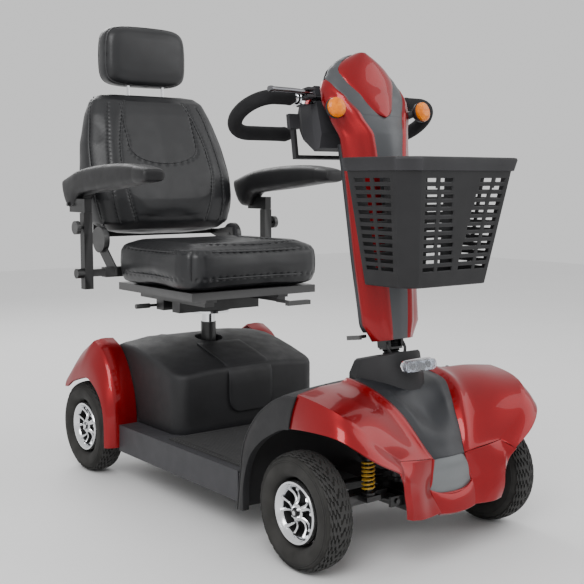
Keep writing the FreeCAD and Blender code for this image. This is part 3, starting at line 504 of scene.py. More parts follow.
def makeRim(centre, out, name, body, node):
    axis = Vector((out, 0, 0))
    lip, well, hub = rimLook["lipRadius"], rimLook["wellRadius"], rimLook["hubRadius"]
    ring = Gathered()
    ring.add(turned([(20, lip), (27, lip), (31, lip - 2.5), (31, lip - 7), (27, lip - 11), (24, well + 3),
                     (19, well + 1),
                     (19, lip - 3)], centre, axis, 96, closed=True))
    barrel = turned([(18.5, lip - 0.5), (18.5, well + 1), (-26, well), (-30, lip - 4), (-30, lip),
                     (-20, lip),
                     (-14, well + 6), (12, well + 6), (14, lip - 0.5)], centre, axis, 96, closed=True)
    # the rim's barrel is near black: painted shade in the rim's well
    meshPiece(name + "_barrel", *barrel, "darkPocket", body)
    for spoke in range(rimLook["spokes"]):
        for twin in (-0.16, 0.16):  # each spoke is a pair that twists apart towards the rim
            base = 2 * math.pi * spoke / rimLook["spokes"]
            line = []
            for k in range(8):
                t = k / 7
                turn = base + twin * (0.55 + 1.25 * t) + 0.16 * t
                radius = hub - 3 + (well + 3 - hub + 3) * t
                depth = 20 - 9 * math.sin(math.pi * t) + 5 * t
                line.append(centre + Vector((out * depth, radius * math.cos(turn),
                                             radius * math.sin(turn))) * mm)
            ring.add(tubeMesh(line, lambda t: 4.4 - 1.3 * math.sin(math.pi * t), 10))
    ring.add(turned([(4, hub), (22, hub), (25, hub - 3), (25, hub - 7), (22, hub - 9)], centre, axis, 40))
    for bolt in range(4):
        turn = 2 * math.pi * (bolt + 0.5) / 4
        middle = centre + Vector((0, 12 * math.cos(turn), 12 * math.sin(turn))) * mm
        ring.add(turned([(22, 3.2), (27.5, 3.2), (28.5, 2.2)], middle, axis, 6))
    ring.add(turned([(22, 6.5), (29, 6.5), (31, 5), (31.6, 2)], centre, axis, 28))
    meshPiece(name, *ring.shape(), "machinedAlloy", body, stands=(node,), slot="alloy")
    # a near-black disc behind the spokes: painted shade filling the wheel's hollow
    paintedShadeDisc = turned([(-24, well - 0.5), (-8, well - 0.5), (-5, 24), (-5, 3), (-24, 3)], centre, axis, 64,
                    closed=True)
    meshPiece(name + "_pocket", *paintedShadeDisc, "darkPocket", body)
    stem = centre + Vector((out * 22, 0, -(well + 8))) * mm
    valve = tubeMesh([stem + Vector((0, 0, 8)) * mm, stem + Vector((out * 4, 0, 12)) * mm,
                      stem + Vector((out * 9, 0, 15)) * mm], 2.0, 10)
    meshPiece(name + "_valve", *valve, "cableSheath", body)


for end in ("front", "rear"):
    for side, out in sides.items():
        body = f"wheel_{end}_{side}"
        centre = jointSpot(f"{end}_wheel_{side}")
        makeTyre(centre, out, f"Tyre_{end}_{side}", body, f"tyre_{end}_{side}")
        makeRim(centre, out, f"Rim_{end}_{side}", body, f"rim_{end}_{side}")
print("wheels made")


# front body
shroudLook = {"depth": 4, "crown": 4, "sideBulge": 3, "steps": 7, "easing": 26,
              "ridge": (7, 7, 7, 7, 6, 4, 0)}
# each station runs from the inner ridge, over the outer crease, to the arch lip
shroudStations = [
    ((117, -455, 389), (300, -492, 383), (311, -478, 309)),
    ((111, -520, 378), (297, -550, 376), (318, -535, 317)),
    ((94, -560, 349), (285, -602, 361), (314, -600, 318)),
    ((79, -583, 325), (264, -638, 336), (300, -646, 312)),
    ((69, -612, 287), (212, -655, 284), (246, -676, 264)),
    ((58, -632, 256), (160, -652, 256), (178, -682, 236)),
    ((50, -646, 236), (157, -655, 250), (179, -684, 231)),
]


def mirroredTo(out, point):
    return at(out * point[0], point[1], point[2])


def bulged(a, b, out, high, share=0.5):
    # a point between two others, pushed out of the body
    middle = a.lerp(b, share)
    away = (middle - at(out * 150, -500, 220)).normalized()
    return middle + away * high * mm


def easedAlong(grid, passes):
    # each line of the grid is evened along its length, its two ends held
    for _ in range(passes):
        grid = [grid[0]] + [[(p + 2 * q + r) / 4 for p, q, r in zip(*three)]
                            for three in zip(grid, grid[1:], grid[2:])] + [grid[-1]]
    return grid


for side, out in sides.items():
    rows = []
    for k, (inner, crease, lip) in enumerate(shroudStations):
        a, b, c = (mirroredTo(out, p) for p in (inner, crease, lip))
        crown = shroudLook["crown"] * (1 if k < 5 else 0.2)
        ridge = shroudLook["ridge"][k]  # beside the middle panel
        rows.append([a + Vector((out * -3, 0, -14)) * mm, a, bulged(a, b, out, ridge, 0.1),
                     bulged(a, b, out, 1 if k < 6 else 0, 0.24),
                     bulged(a, b, out, crown, 0.6), b, bulged(b, c, out, shroudLook["sideBulge"]), c])
    grid = easedAlong(surface(rows, shroudLook["steps"], cornersAcross=(1, 5)), shroudLook["easing"])
    stands = ("front_shroud",) if side == "right" else ()
    sheetPiece(f"Front_fender_{side}", grid, shroudLook["depth"], "redPaint", "chassis", stands=stands,
               slot="red_paint")
    # the lower nose starts on the fender's last row
    nose = [[mirroredTo(out, p) for p in row] for row in (
        ((50, -646, 236), (85, -653, 241), (120, -657, 246), (157, -655, 250), (179, -684, 231)),
        ((58, -650, 205), (90, -661, 208), (120, -669, 212), (150, -676, 214), (163, -674, 206)),
        ((66, -654, 172), (94, -669, 174), (120, -677, 178), (146, -679, 182), (156, -671, 176)),
        ((62, -665, 150), (92, -675, 148), (118, -682, 150), (142, -682, 152), (151, -672, 148)),
        ((52, -676, 124), (86, -679, 122), (112, -681, 122), (136, -677, 124), (145, -667, 126)))]
    sheetPiece(f"Nose_side_{side}", surface(nose, 7, cornersAcross=(3,)), 4, "redPaint", "chassis",
               slot="red_paint")

# chin that joins both nose sides under the insert
chinRows = []
for k in range(-6, 7):
    share = k / 6
    curve = 1 - share * share
    chinRows.append([at(67 * share, -654 - 12 * curve, 173 - 17 * curve),
                     at(63 * share, -665 - 8 * curve, 151 - 6 * curve),
                     at(54 * share, -676 - 5 * curve, 124 - 4 * curve),
                     at(54 * share, -668 - 4 * curve, 119 - 4 * curve)])
sheetPiece("Nose_chin", surface(chinRows, 4, cornersAcross=(2,)), 4, "redPaint", "chassis",
           slot="red_paint")
# framed silver insert set into the nose
insertRows = []
for up, wide, forward in ((0.0, 47, -643), (0.35, 53, -651), (0.7, 60, -652), (1.0, 64, -651),
                          (1.3, 44, -655)):
    z = 237 - 66 * up
    insertRows.append([at(x * wide, forward - 5 * (1 - x * x), z) for x in (-1, -0.6, 0, 0.6, 1)])
sheetPiece("Nose_insert", surface(insertRows, 5), 3, "silverInsert", "chassis", slot="grey_moulding")
half = [(50, -648, 236), (60, -652, 188), (66, -652, 170), (40, -660, 160)]
rim = [at(-x, y, z) for x, y, z in half] + [at(0, -664, 158)] + [at(*p) for p in reversed(half)]
meshPiece("Nose_insert_frame", *tubeMesh(smoothLine(rim, 6), 3.2, 10), "redPaint", "chassis",
          slot="red_paint")

# dark middle panel with a bowl below the neck
panelStations = [(117, -452, 389, -452, 392), (111, -520, 376, -524, 372), (94, -560, 347, -566, 328),
                 (79, -583, 323, -592, 304), (69, -612, 285, -622, 280), (58, -632, 254, -640, 252),
                 (50, -646, 234, -652, 236)]
rows = []
for wide, y, z, midY, midZ in panelStations:
    bowl = 5 if 300 < z < 360 else 0
    nearY, nearZ = y * 0.25 + midY * 0.75, z * 0.25 + midZ * 0.75
    half = [(1, y, z - 12), (1, y, z - 1), (0.72, y - 2, z + 1), (0.38, nearY, nearZ)]
    rows.append([at(-wide * share, a, b) for share, a, b in half] + [at(0, midY + bowl, midZ)]
                + [at(wide * share, a, b) for share, a, b in reversed(half)])
sheetPiece("Middle_panel", surface(rows, 5, cornersAcross=(1, 2, 6, 7)), 3, "panelGrey", "chassis",
           stands=("front_centre_panel",), slot="grey_moulding")

# black wall behind the front wheels, with a lip round each arch and a strip over the top
wallProfile = [(-274, 82), (-286, 160), (-302, 244), (-348, 311), (-402, 353), (-450, 376), (-492, 381)]
rows = []
for y, z in wallProfile:
    climb = max(0, z - 300) / 81  # the top edge runs back to the neck
    row = []
    for x in (-309, -304, -285, -200, -100, 0, 100, 200, 285, 304, 309):
        inward, turnedIn = climb * min(1, (306 - min(abs(x), 306)) / 170), 4 if abs(x) > 300 else 0
        row.append(at(x, y + 38 * inward + turnedIn, z + 5 * inward - turnedIn))
    rows.append(row)
sheetPiece("Footwell_wall", surface(rows, 4), 4, "blackMoulding", "chassis", stands=("footwell_panel",),
           slot="black_moulding")
archLip = [(-304, 84), (-307, 150), (-330, 216), (-374, 262), (-430, 294), (-455, 304), (-478, 309)]
for side, out in sides.items():
    rows = []
    for (y, z), (lipY, lipZ) in zip(wallProfile, archLip):
        rows.append([at(out * 306, y, z - 1), at(out * 313, (y + lipY) / 2, (z + lipZ) / 2),
                     at(out * 315, lipY, lipZ),
                     at(out * 300, lipY - 2, lipZ + 2)])
    grid = surface(rows, 6, cornersAcross=(0, 2))
    sheetPiece(f"Arch_flap_{side}", grid, 4, "blackMoulding", "chassis", slot="black_moulding")
    screw(f"Fender_screw_{side}", at(out * 191, -452, 385), (0, -0.2, 1), 5, "chassis")
print("front body made")

# coil springs
springLook = {"across": 135, "along": -532, "low": 156, "high": 223, "turns": 7, "radius": 13.7,
              "wire": 2.2, "keep": 0.9}
for side, out in sides.items():
    coil = []
    for k in range(springLook["turns"] * 20 + 1):
        turn = 2 * math.pi * k / 20
        z = springLook["low"] + (springLook["high"] - springLook["low"]) * k / (springLook["turns"] * 20)
        coil.append(at(out * springLook["across"] + springLook["radius"] * math.cos(turn),
                       springLook["along"] + springLook["radius"] * math.sin(turn), z))
    spring = meshPiece(f"Spring_{side}", *tubeMesh(coil, springLook["wire"], 10), "springYellow", "chassis",
                       stands=("front_springs",) if side == "right" else (), slot="spring_paint", sharp=60)
    top = at(out * springLook["across"], springLook["along"], springLook["high"])
    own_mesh(spring)
print("springs made")

# neck hood and lamp
neckPlan = [(90, -414), (98, -446), (72, -492), (42, -524), (18, -534)]
neckTop = [(68, -406), (78, -442), (62, -486), (38, -509), (16, -516)]


def neckRing(plan, height, grow=1.0):
    ring = [at(x * grow, y, height(y)) for x, y in plan]
    return ring + [at(-x * grow, y, height(y)) for x, y in reversed(plan)]


hoodRings = [neckRing(neckPlan, lambda y: 388 + (y + 414) * 0.27 - 6),
             neckRing(neckPlan, lambda y: 397 + (y + 414) * 0.27),
             neckRing(neckTop, lambda y: 421 - (y + 406) * 0.24),
             neckRing(neckTop, lambda y: 425 - (y + 406) * 0.24, 0.9)]
neckHole = {"radius": 37, "middle": -457}
holeSide = []
for x, y in neckTop:
    turn = math.atan2(y - neckHole["middle"], x)
    holeSide.append(at(neckHole["radius"] * math.cos(turn),
                       neckHole["middle"] + neckHole["radius"] * math.sin(turn),
                       433 - (y + 406) * 0.1))
holeSide += [Vector((2 * tiltPin.x - p.x, p.y, p.z)) for p in reversed(holeSide)]
hoodPoints = [p for ring in hoodRings + [holeSide] for p in ring]
hoodFaces = gridFaces(len(hoodRings) + 1, len(neckPlan) * 2, closed=True)
hood = meshPiece("Neck_hood", hoodPoints, hoodFaces, "blackMoulding", "chassis", stands=("neck_cover",),
                 slot="black_moulding", sharp=30)
rounded(thicken(hood, 3), 2.5, 3, 28)

# headlight on a short arm
lampMiddle = at(0, -553, 424)
lampLook = {"halfLength": 48, "halfHeight": 13, "front": -7, "back": 6, "swell": 1.5, "cells": (-24, 24)}


def pill(middle, halfLength, halfHeight, front, back, swell=0.0):
    # a stadium outline facing forward, front to back
    rings, faces, steps = [], [], 28
    for forward, grow in ((back, 1.0), (front + 3, 1.0), (front, 0.9), (front - swell, 0.55)):
        for s in range(steps):
            turn = 2 * math.pi * s / steps
            x = math.copysign(halfLength - halfHeight, math.cos(turn)) + halfHeight * math.cos(turn)
            rings.append(middle + Vector((x * grow, forward, halfHeight * grow * math.sin(turn))) * mm)
    for ring in range(3):
        for s in range(steps):
            t = (s + 1) % steps
            faces.append((ring * steps + s, ring * steps + t, (ring + 1) * steps + t,
                          (ring + 1) * steps + s))
    faces += [tuple(range(steps)), tuple(range(3 * steps, 4 * steps))]
    return rings, faces


lens = pill(lampMiddle, lampLook["halfLength"], lampLook["halfHeight"], lampLook["front"], lampLook["back"],
            lampLook["swell"])
meshPiece("Headlight_lens", *lens, "clearLens", "chassis", stands=("headlight",), slot="clear_lens")
shell = pill(lampMiddle + Vector((0, 7, 0)) * mm, lampLook["halfLength"] + 1, lampLook["halfHeight"] + 1, 0,
             6)
meshPiece("Headlight_back", *shell, "machinedAlloy", "chassis")
# the two lamp cells are near black: painted shade in the hollows behind the lens
for x in lampLook["cells"]:
    bulb = turned([(-4, 6), (0, 7), (3, 5), (4, 2)], lampMiddle + Vector((x, 2, 0)) * mm, (0, -1, 0), 20)
    meshPiece(f"Headlight_cell_{'right' if x < 0 else 'left'}", *bulb, "darkPocket", "chassis")
arm = [at(0, -560 + 34 * k / 5, 421 - 3 * k / 5) for k in range(6)]
meshPiece("Headlight_arm", *tubeMesh(arm, 10, 14), "blackMoulding", "chassis")

# ribbed sleeve and two hoses between the hood and the tiller's foot
sleeveLook = {"length": 44, "radius": 19, "rib": 2.2, "steps": 28}
sleeve = []
for k in range(sleeveLook["steps"] + 1):
    along = -sleeveLook["length"] + sleeveLook["length"] * k / sleeveLook["steps"]
    sleeve.append((along, sleeveLook["radius"] + sleeveLook["rib"] * math.sin(k * math.pi / 2)))
meshPiece("Column_sleeve", *turned(sleeve, tiltPin + tillerUp * -4 * mm, tillerUp, 32), "cableSheath",
          "steering_column")
hoseRadius = 3.5
hoseRoute = [(-20, -478, 436), (-24, -478, 446), (-26, -475, 455), (-25, -471, 462), (-23, -468, 468)]
for side, out in sides.items():
    route = bpy.data.curves.new(f"Hose_{side}", "CURVE")
    route.dimensions, route.bevel_depth, route.bevel_resolution = "3D", hoseRadius * mm, 4
    spline = route.splines.new("NURBS")
    spline.points.add(len(hoseRoute) - 1)
    for knot, (x, y, z) in zip(spline.points, hoseRoute):
        knot.co = (*at(-out * x, y, z), 1)
    spline.order_u, spline.use_endpoint_u, spline.resolution_u = 3, True, 12
    hose = bpy.data.objects.new(f"Hose_{side}", route)
    bpy.context.collection.objects.link(hose)
    finishPiece(hose, "cableSheath", "steering_column")
print("neck made")

# rear cover
coverLook = {"halfWidth": 232, "front": 116, "rear": 600, "corner": 42, "bottom": 152,
             "droop": 14}
topLine = [(116, 329), (190, 352), (260, 370), (321, 383), (390, 391), (440, 386), (500, 362), (550, 322),
           (600, 262)]


def topHeight(y):
    for (y0, z0), (y1, z1) in zip(topLine, topLine[1:]):
        if y <= y1:
            t = (y - y0) / (y1 - y0)
            return z0 + (z1 - z0) * t
    return topLine[-1][1]


def coverOutline(shrink):
    # a rounded oblong in plan
    points, wide, r = [], coverLook["halfWidth"], coverLook["corner"]
    middle = (coverLook["front"] + coverLook["rear"]) / 2
    reach = (coverLook["rear"] - coverLook["front"]) / 2
    corners = [(1, -1, -90), (1, 1, 0), (-1, 1, 90), (-1, -1, 180)]
    for sx, sy, start in corners:
        for k in range(9):
            turn = math.radians(start + 90 * k / 8)
            x = sx * (wide - r) + r * math.cos(turn)
            y = sy * (reach - r) + r * math.sin(turn)
            points.append((x * shrink, middle + y * shrink))
    dense = []
    for i, (x, y) in enumerate(points):
        x2, y2 = points[(i + 1) % len(points)]
        runs = 6 if math.hypot(x2 - x, y2 - y) > 60 * shrink else 1
        dense += [(x + (x2 - x) * k / runs, y + (y2 - y) * k / runs) for k in range(runs)]
    return dense


coverRings = []
for z, shrink in ((coverLook["bottom"], 0.995), (180, 1.0), (250, 1.0)):
    coverRings.append([at(x, y, min(z, topHeight(y) - 20)) for x, y in coverOutline(shrink)])
for shrink, below in ((1.0, 11), (0.992, 4.5), (0.975, 1.2), (0.94, 0), (0.8, 0), (0.6, 0), (0.4, 0),
                      (0.2, 0), (0.11, 0)):
    coverRings.append([at(x, y, topHeight(y) - below
                          - coverLook["droop"] * (abs(x) / coverLook["halfWidth"]) ** 3)
                       for x, y in coverOutline(shrink)])
# the innermost rings draw in to the seat post's hole
holeMiddle = (0, 325)
inner = [math.atan2(y - 358, x) for x, y in coverOutline(0.11)]


def holeRing(across, along, sunk=None):
    # follows the cover's top, or lies flat when it is sunk
    ring = []
    for a in inner:
        x, y = holeMiddle[0] + across * math.cos(a), holeMiddle[1] + along * math.sin(a)
        ring.append(at(x, y, topHeight(y) if sunk is None else topHeight(holeMiddle[1]) - sunk))
    return ring


coverRings[-2:] = [holeRing(70, 62), holeRing(43, 40), holeRing(40, 37, 22)]
coverPoints = [p for ring in coverRings for p in ring]
coverFaces = gridFaces(len(coverRings), len(coverRings[0]), closed=True)
cover = meshPiece("Rear_cover", coverPoints, coverFaces, "blackMoulding", "chassis", stands=("rear_cover",),
                  slot="black_moulding", sharp=60)
thicken(cover, 3)

# raised tongue that runs from the post down the front face, with a round lower end
tongueLook = {"halfWidth": 72, "top": 275, "face": 110, "roundFrom": 250, "roundTo": 206}
tongueTop = [tongueLook["top"] - (tongueLook["top"] - coverLook["front"]) * k / 8 for k in range(8)]
path = [(y, topHeight(y) + 0.5) for y in tongueTop] + [(117, 322), (113, 310), (112, 280), (112, 250)]
rows = []
for y, z in path:
    forward, raised = 2 if z < 320 else 0, 2 if z > 326 else 0
    rows.append([at(tongueLook["halfWidth"] * k / 6, y - forward, z + raised) for k in range(-6, 7)])
for k in range(1, 6):  # the round end
    turn = math.pi / 2 * k / 5
    half = tongueLook["halfWidth"] * (0.55 + 0.45 * math.cos(turn))
    low = tongueLook["roundFrom"] - (tongueLook["roundFrom"] - tongueLook["roundTo"]) * math.sin(turn)
    rows.append([at(half * j / 6, tongueLook["face"], low) for j in range(-6, 7)])
sheetPiece("Rear_cover_tongue", rows, 4.5, "blackMoulding", "chassis", slot="black_moulding")
print("rear cover made")

# rear fenders
fenderPath = [  # crest then arch lip, side view
    ((336, 97), (354, 97)), ((334, 172), (356, 176)), ((344, 240), (372, 226)), ((374, 308), (408, 262)),
    ((416, 358), (455, 281)), ((465, 381), (505, 272)), ((524, 346), (548, 258)), ((566, 306), (580, 240)),
              ((592, 274), (596, 236))]
for side, out in sides.items():
    rows = []
    for (y, z), (lipY, lipZ) in fenderPath:
        rows.append([at(out * 236, y + 2, z + 3), at(out * 270, y - 1, z + 5), at(out * 296, y, z),
                     at(out * 306, y + (lipY - y) * 0.12, z - (z - lipZ) * 0.12),
                     at(out * 321, (y + lipY) / 2, (z + lipZ) / 2), at(out * 327, lipY, lipZ),
                     at(out * 322, lipY + 2, lipZ - 2)])
    grid = surface(rows, 6, cornersAcross=(2, 5), cornersAlong=(5,))
    stands = ("rear_fenders",) if side == "right" else ()
    sheetPiece(f"Rear_fender_{side}", grid, 4, "redPaint", "chassis", stands=stands, slot="red_paint")
    lamp = pill(Vector(), 17, 11, -4, 5, 1.5)
    turnedRound = [Vector((-p.x, -p.y, p.z)) + at(out * 268, 583, 296) for p in lamp[0]]
    meshPiece(f"Tail_lamp_{side}", turnedRound, lamp[1], "redLens", "chassis")
print("rear fenders made")

# raised edge round the floor mat
deckLow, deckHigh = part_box("floor_mat")
edge = 0.012
outline = [(deckLow.x + edge, deckLow.y + edge), (deckHigh.x - edge, deckLow.y + edge),
           (deckHigh.x - edge, deckHigh.y - edge),
           (deckLow.x + edge, deckHigh.y - edge)]
for k, (start, finish) in enumerate(zip(outline, outline[1:] + outline[:1])):
    steps = [Vector((start[0] + (finish[0] - start[0]) * t / 4, start[1] + (finish[1] - start[1]) * t / 4,
                     deckHigh.z)) for t in range(5)]
    meshPiece(f"Mat_edge_{k + 1}", *tubeMesh(steps, 2.4, 8), "matRubber", "chassis", slot="mat_rubber")
print("deck made")


# tiller covers; every table is height above the tilt pin, then a size
tillerLook = {
    "halfWidth": [(-9, 60), (30, 84), (200, 92), (400, 96), (457, 100), (505, 116), (545, 124), (575, 116),
                  (596, 105),
                  (620, 88), (640, 66), (655, 38), (661, 18)],
    "front": [(-9, -38), (100, -46), (200, -52), (300, -58), (409, -64), (457, -65), (505, -47), (545, -33),
              (584, -18),
              (620, -8), (645, 0), (661, 8)],
    "back": [(-9, -8), (457, -8), (505, 2), (545, 16), (584, 30), (620, 40), (645, 43), (661, 40)],
    "band": [(-9, 22), (100, 28), (300, 35), (409, 38), (457, 44), (505, 62), (545, 86), (575, 101),
             (596, 104)],
    "crest": [(500, 1), (502, 10), (505, 17), (511, 25), (520, 31), (537, 40), (560, 52), (580, 67),
              (596, 79), (620, 77), (640, 58), (655, 33), (661, 13)],
}


def read(table, where):
    if where <= table[0][0]:
        return table[0][1]
    for (a, low), (b, high) in zip(table, table[1:]):
        if where <= b:
            t = (where - a) / (b - a)
            t = t * t * (3 - 2 * t) * 0.4 + t * 0.6
            return low + (high - low) * t
    return table[-1][1]


def tillerSkin(x, up, proud=0.0):
    wide, front, back = (read(tillerLook[key], up) for key in ("halfWidth", "front", "back"))
    n = 1.55 if up < 440 else 1.55 + 0.7 * min(1, (up - 440) / 90)
    share = max(0.0, 1 - (abs(x) / wide) ** n) ** (1 / n)
    return onTiller(x, back + (front - back) * share - proud, up)


def hump(where, middle, spread):
    return math.exp(-((where - middle) / spread) ** 2)


ribLook = {"high": 4.5, "at": 0.13, "spread": 0.09}
scoopLook = {"deep": 7, "at": 0.62, "spread": 0.16, "up": 478, "tall": 26}
heights = [-9, 5] + list(range(30, 450, 28)) + list(range(456, 596, 7)) + [596]
for side, out in sides.items():
    rows = []
    for up in heights:
        wide = read(tillerLook["halfWidth"], up)
        band = min(read(tillerLook["band"], up), wide - 1.5)
        back = read(tillerLook["back"], up)
        row = [tillerSkin(out * band, up, -3)]
        for k in range(19):
            s = k / 18
            x = band + (wide - band) * math.sin(s * math.pi / 2)
            # a raised rib beside the middle band, and a scoop below the indicator
            rib = ribLook["high"] * hump(s, ribLook["at"], ribLook["spread"])
            scoop = -scoopLook["deep"] * (hump(s, scoopLook["at"], scoopLook["spread"])
                                          * hump(up, scoopLook["up"], scoopLook["tall"]))
            row.append(tillerSkin(out * min(x, wide - 0.02), up, rib * min(1, (wide - band) / 30) + scoop))
        row += [onTiller(out * (wide - 1.5), back + 4, up), onTiller(out * (wide - 6), back + 5, up)]
        rows.append(row)
    stands = ("tiller_front_cover",) if side == "right" else ()
    sheetPiece(f"Tiller_side_{side}", rows, 3.5, "redPaint", "tiller", stands=stands, slot="red_paint")
    chamfer = []
    for up in heights[1:-22]:
        wide, back = read(tillerLook["halfWidth"], up), read(tillerLook["back"], up)
        chamfer.append([onTiller(out * (wide + 0.8), back - 3, up),
                        onTiller(out * (wide - 1.2), back + 5, up)])
    sheetPiece(f"Tiller_edge_{side}", chamfer, 2, "redPaint", "tiller", slot="red_paint")
    arm = []
    for up in range(503, 663, 5):
        wide = read(tillerLook["halfWidth"], up)
        outer = min(read(tillerLook["band"], up) if up < 596 else wide, wide - 0.5)
        inner = min(read(tillerLook["crest"], up), outer - 1.5)
        arm.append([tillerSkin(out * (inner + (outer - inner) * k / 6), up, 0.8) for k in range(-1, 7)])
    sheetPiece(f"Crest_band_{side}", arm, 3, "bandGrey", "tiller", slot="grey_moulding")
band = []
for up in [h for h in heights if h <= 505]:
    half = read(tillerLook["band"], up) + 0.5
    band.append([tillerSkin(half * k / 8, up, 0.6) for k in range(-8, 9)])
sheetPiece("Tiller_middle_band", band, 3, "bandGrey", "tiller", slot="grey_moulding")
crest = []
for up in [500, 501, 502, 503.5, 505, 508, 512] + list(range(518, 656, 6)) + [658, 661]:
    half = read(tillerLook["crest"], up)
    crest.append([tillerSkin(half * k / 10, up, 5.5 - 4.5 * abs(k / 10) ** 4) for k in range(-10, 11)])
sheetPiece("Crest", easedAlong(crest, 6), 3.5, "redPaint", "tiller", slot="red_paint")
visorBack = []
for up in list(range(440, 660, 14)) + [660]:
    wide, back = read(tillerLook["halfWidth"], up) - 4, read(tillerLook["back"], up)
    visorBack.append([onTiller(wide * k / 8, back + 5 + 5 * (1 - (k / 8) ** 2), up) for k in range(-8, 9)])
sheetPiece("Visor_back", visorBack, 3, "blackMoulding", "tiller", slot="black_moulding")
rear = []
for up in [13, 21] + list(range(33, 445, 40)) + [446]:
    wide, deep = read(tillerLook["halfWidth"], up) - 2, 18 + 3 * up / 400
    ring = [(1, -6), (0.985, 4), (0.93, 0.75 * deep), (0.8, deep), (0.4, deep + 3), (0, deep + 4)]
    half = [onTiller(wide * x, b, up) for x, b in ring]
    rear.append(half + [onTiller(-wide * x, b, up) for x, b in reversed(ring[:-1])])
sheetPiece("Tiller_rear_cover", surface(rear, 3, cornersAcross=()), 3.5, "greyMoulding", "tiller",
           stands=("tiller_rear_cover",), slot="grey_moulding")
for k, up in enumerate((70, 380)):
    for side, out in sides.items():
        screw(f"Tiller_screw_{side}_{k + 1}", onTiller(out * 62, 24 + 3 * up / 400, up), tillerBack, 4.5,
              "tiller")
print("tiller covers made")

# round amber indicators on black stalks
indicatorLook = {"x": 132, "back": -34, "up": 519, "radius": 23}
for side, out in sides.items():
    middle = onTiller(out * indicatorLook["x"], indicatorLook["back"], indicatorLook["up"])
    facing = (-tillerBack + Vector((out * 0.12, 0, 0.04))).normalized()
    r = indicatorLook["radius"]
    lens = turned([(2, r - 1), (7, r), (11, r - 1), (14, r - 5), (16.5, r - 11), (17.5, r - 17)], middle,
                  facing, 26)
    stands = ("indicator_lamps",) if side == "right" else ()
    meshPiece(f"Indicator_lens_{side}", *lens, "amberLens", "tiller", stands=stands, slot="amber_lens",
              sharp=10)
    cup = turned([(-18, 9), (-13, 17), (-4, r), (2.5, r + 1.2), (3.5, r + 0.4), (3, r - 1.5)], middle,
                 facing, 36)
    meshPiece(f"Indicator_cup_{side}", *cup, "blackMoulding", "tiller", slot="black_moulding")
    stalk = smoothLine([middle - facing * 0.014, middle + Vector((-out * 20, 14, -6)) * mm,
                        onTiller(out * 92, 6, 506)], 6)
    meshPiece(f"Indicator_stalk_{side}", *tubeMesh(stalk, lambda t: 7 + 3 * t, 14), "blackMoulding",
              "tiller")

# foam grips that follow the looped bar
gripLook = {"front": (63.8, 560.6), "rear": (179, 500), "bend": 222, "start": 172, "tip": 102,
            "radius": 16.8}
frontRun, rearRun = gripLook["front"], gripLook["rear"]
reach = math.dist(frontRun, rearRun) / 2
for side, out in sides.items():
    path = [(gripLook["start"] + 50 * k / 6, 0.0) for k in range(6)]
    path += [(gripLook["bend"] + reach * math.sin(math.pi * k / 24), (1 - math.cos(math.pi * k / 24)) / 2)
             for k in range(25)]
    path += [(gripLook["bend"] - (gripLook["bend"] - gripLook["tip"]) * k / 8, 1.0) for k in range(1, 9)]
    line = [onTiller(out * x, frontRun[0] + (rearRun[0] - frontRun[0]) * t,
                     frontRun[1] + (rearRun[1] - frontRun[1]) * t) for x, t in path]
    stands = ("hand_grips",) if side == "right" else ()

    def swell(t):
        end = min(t, 1 - t)
        return gripLook["radius"] - (3.5 if end < 0.006 else 0) + (0.9 if 0.02 < end < 0.05 else 0)
    grip = meshPiece(f"Grip_{side}", *tubeMesh(line, swell, 24), "gripFoam", "tiller", stands=stands,
                     slot="grip_foam")
    rounded(grip, 2, 3, 40)

# brake lever with a ball end, and the black clamp that holds it to the bar
leverLook = {"line": [(-138, 37), (-152, 36), (-176, 31), (-205, 27), (-240, 25), (-268, 23)], "up": 568,
             "thin": 3.9, "thick": 6.2, "clampAt": (-160, -128), "clampRadius": 16.5}
leverLine = smoothLine([onTiller(x, back, leverLook["up"]) for x, back in leverLook["line"]], 6)


def leverWidth(t):
    # thin between the clamp's ears, full along the fingers, round at the tip
    tip = 1.2 if 0.9 < t < 0.985 else 0
    return leverLook["thin"] + (leverLook["thick"]
                                - leverLook["thin"]) * min(1, max(0, (t - 0.14) * 6)) + tip


meshPiece("Brake_lever_blade", *tubeMesh(leverLine, leverWidth, 16), "polishedLever", "brake_lever",
                  stands=("brake_lever",), slot="lever_alloy")
clampFrom, clampTo = leverLook["clampAt"]
r = leverLook["clampRadius"]
clampForm = [(0, r - 2), (2, r), (clampTo - clampFrom - 2, r), (clampTo - clampFrom, r - 2)]
meshPiece("Brake_clamp", *turned(clampForm, onTiller(clampFrom, *frontRun), (1, 0, 0), 36), "blackMoulding",
          "tiller",
          slot="black_moulding")
boxFaces = [(0, 1, 3, 2), (4, 6, 7, 5), (0, 4, 5, 1), (2, 3, 7, 6), (0, 2, 6, 4), (1, 5, 7, 3)]
for name, ends in (("lower", (555.4, 562.6)), ("upper", (572.4, 579.6))):
    corners = [onTiller(x, back, up) for x in (-155, -133) for back in (27, 61) for up in ends]
    ear = meshPiece(f"Brake_clamp_ear_{name}", corners, boxFaces, "blackMoulding", "tiller",
                    slot="black_moulding")
    rounded(ear, 1.5, 2, 40)

# a ring of marks round the speed knob, inside a chrome ring
dashOut = Vector(joints["speed_dial"]["axis"]).normalized()
dashAcross = Vector((1, 0, 0))
dashUp = dashOut.cross(dashAcross).normalized()
knob = jointSpot("speed_dial")
dashLook = {"marks": 11, "sweep": 270, "markRadius": 0.0225, "markHalf": 0.002, "proud": 0.0012,
            "ringRadius": 0.0265}
marks = Gathered()
for k in range(dashLook["marks"]):
    turn = math.radians(dashLook["sweep"] * (k / (dashLook["marks"] - 1) - 0.5))
    ray = dashUp * math.cos(turn) + dashAcross * math.sin(turn)
    middle = knob + ray * dashLook["markRadius"] + dashOut * dashLook["proud"]
    marks.add(tubeMesh([middle - ray * dashLook["markHalf"], middle + ray * dashLook["markHalf"]],
                       0.8 + 0.05 * k, 6))
meshPiece("Dial_marks", *marks.shape(), "paleDial", "tiller")
ring = []
for k in range(40):
    turn = 2 * math.pi * k / 40
    ring.append(knob + (dashUp * math.cos(turn) + dashAcross * math.sin(turn)) * dashLook["ringRadius"])
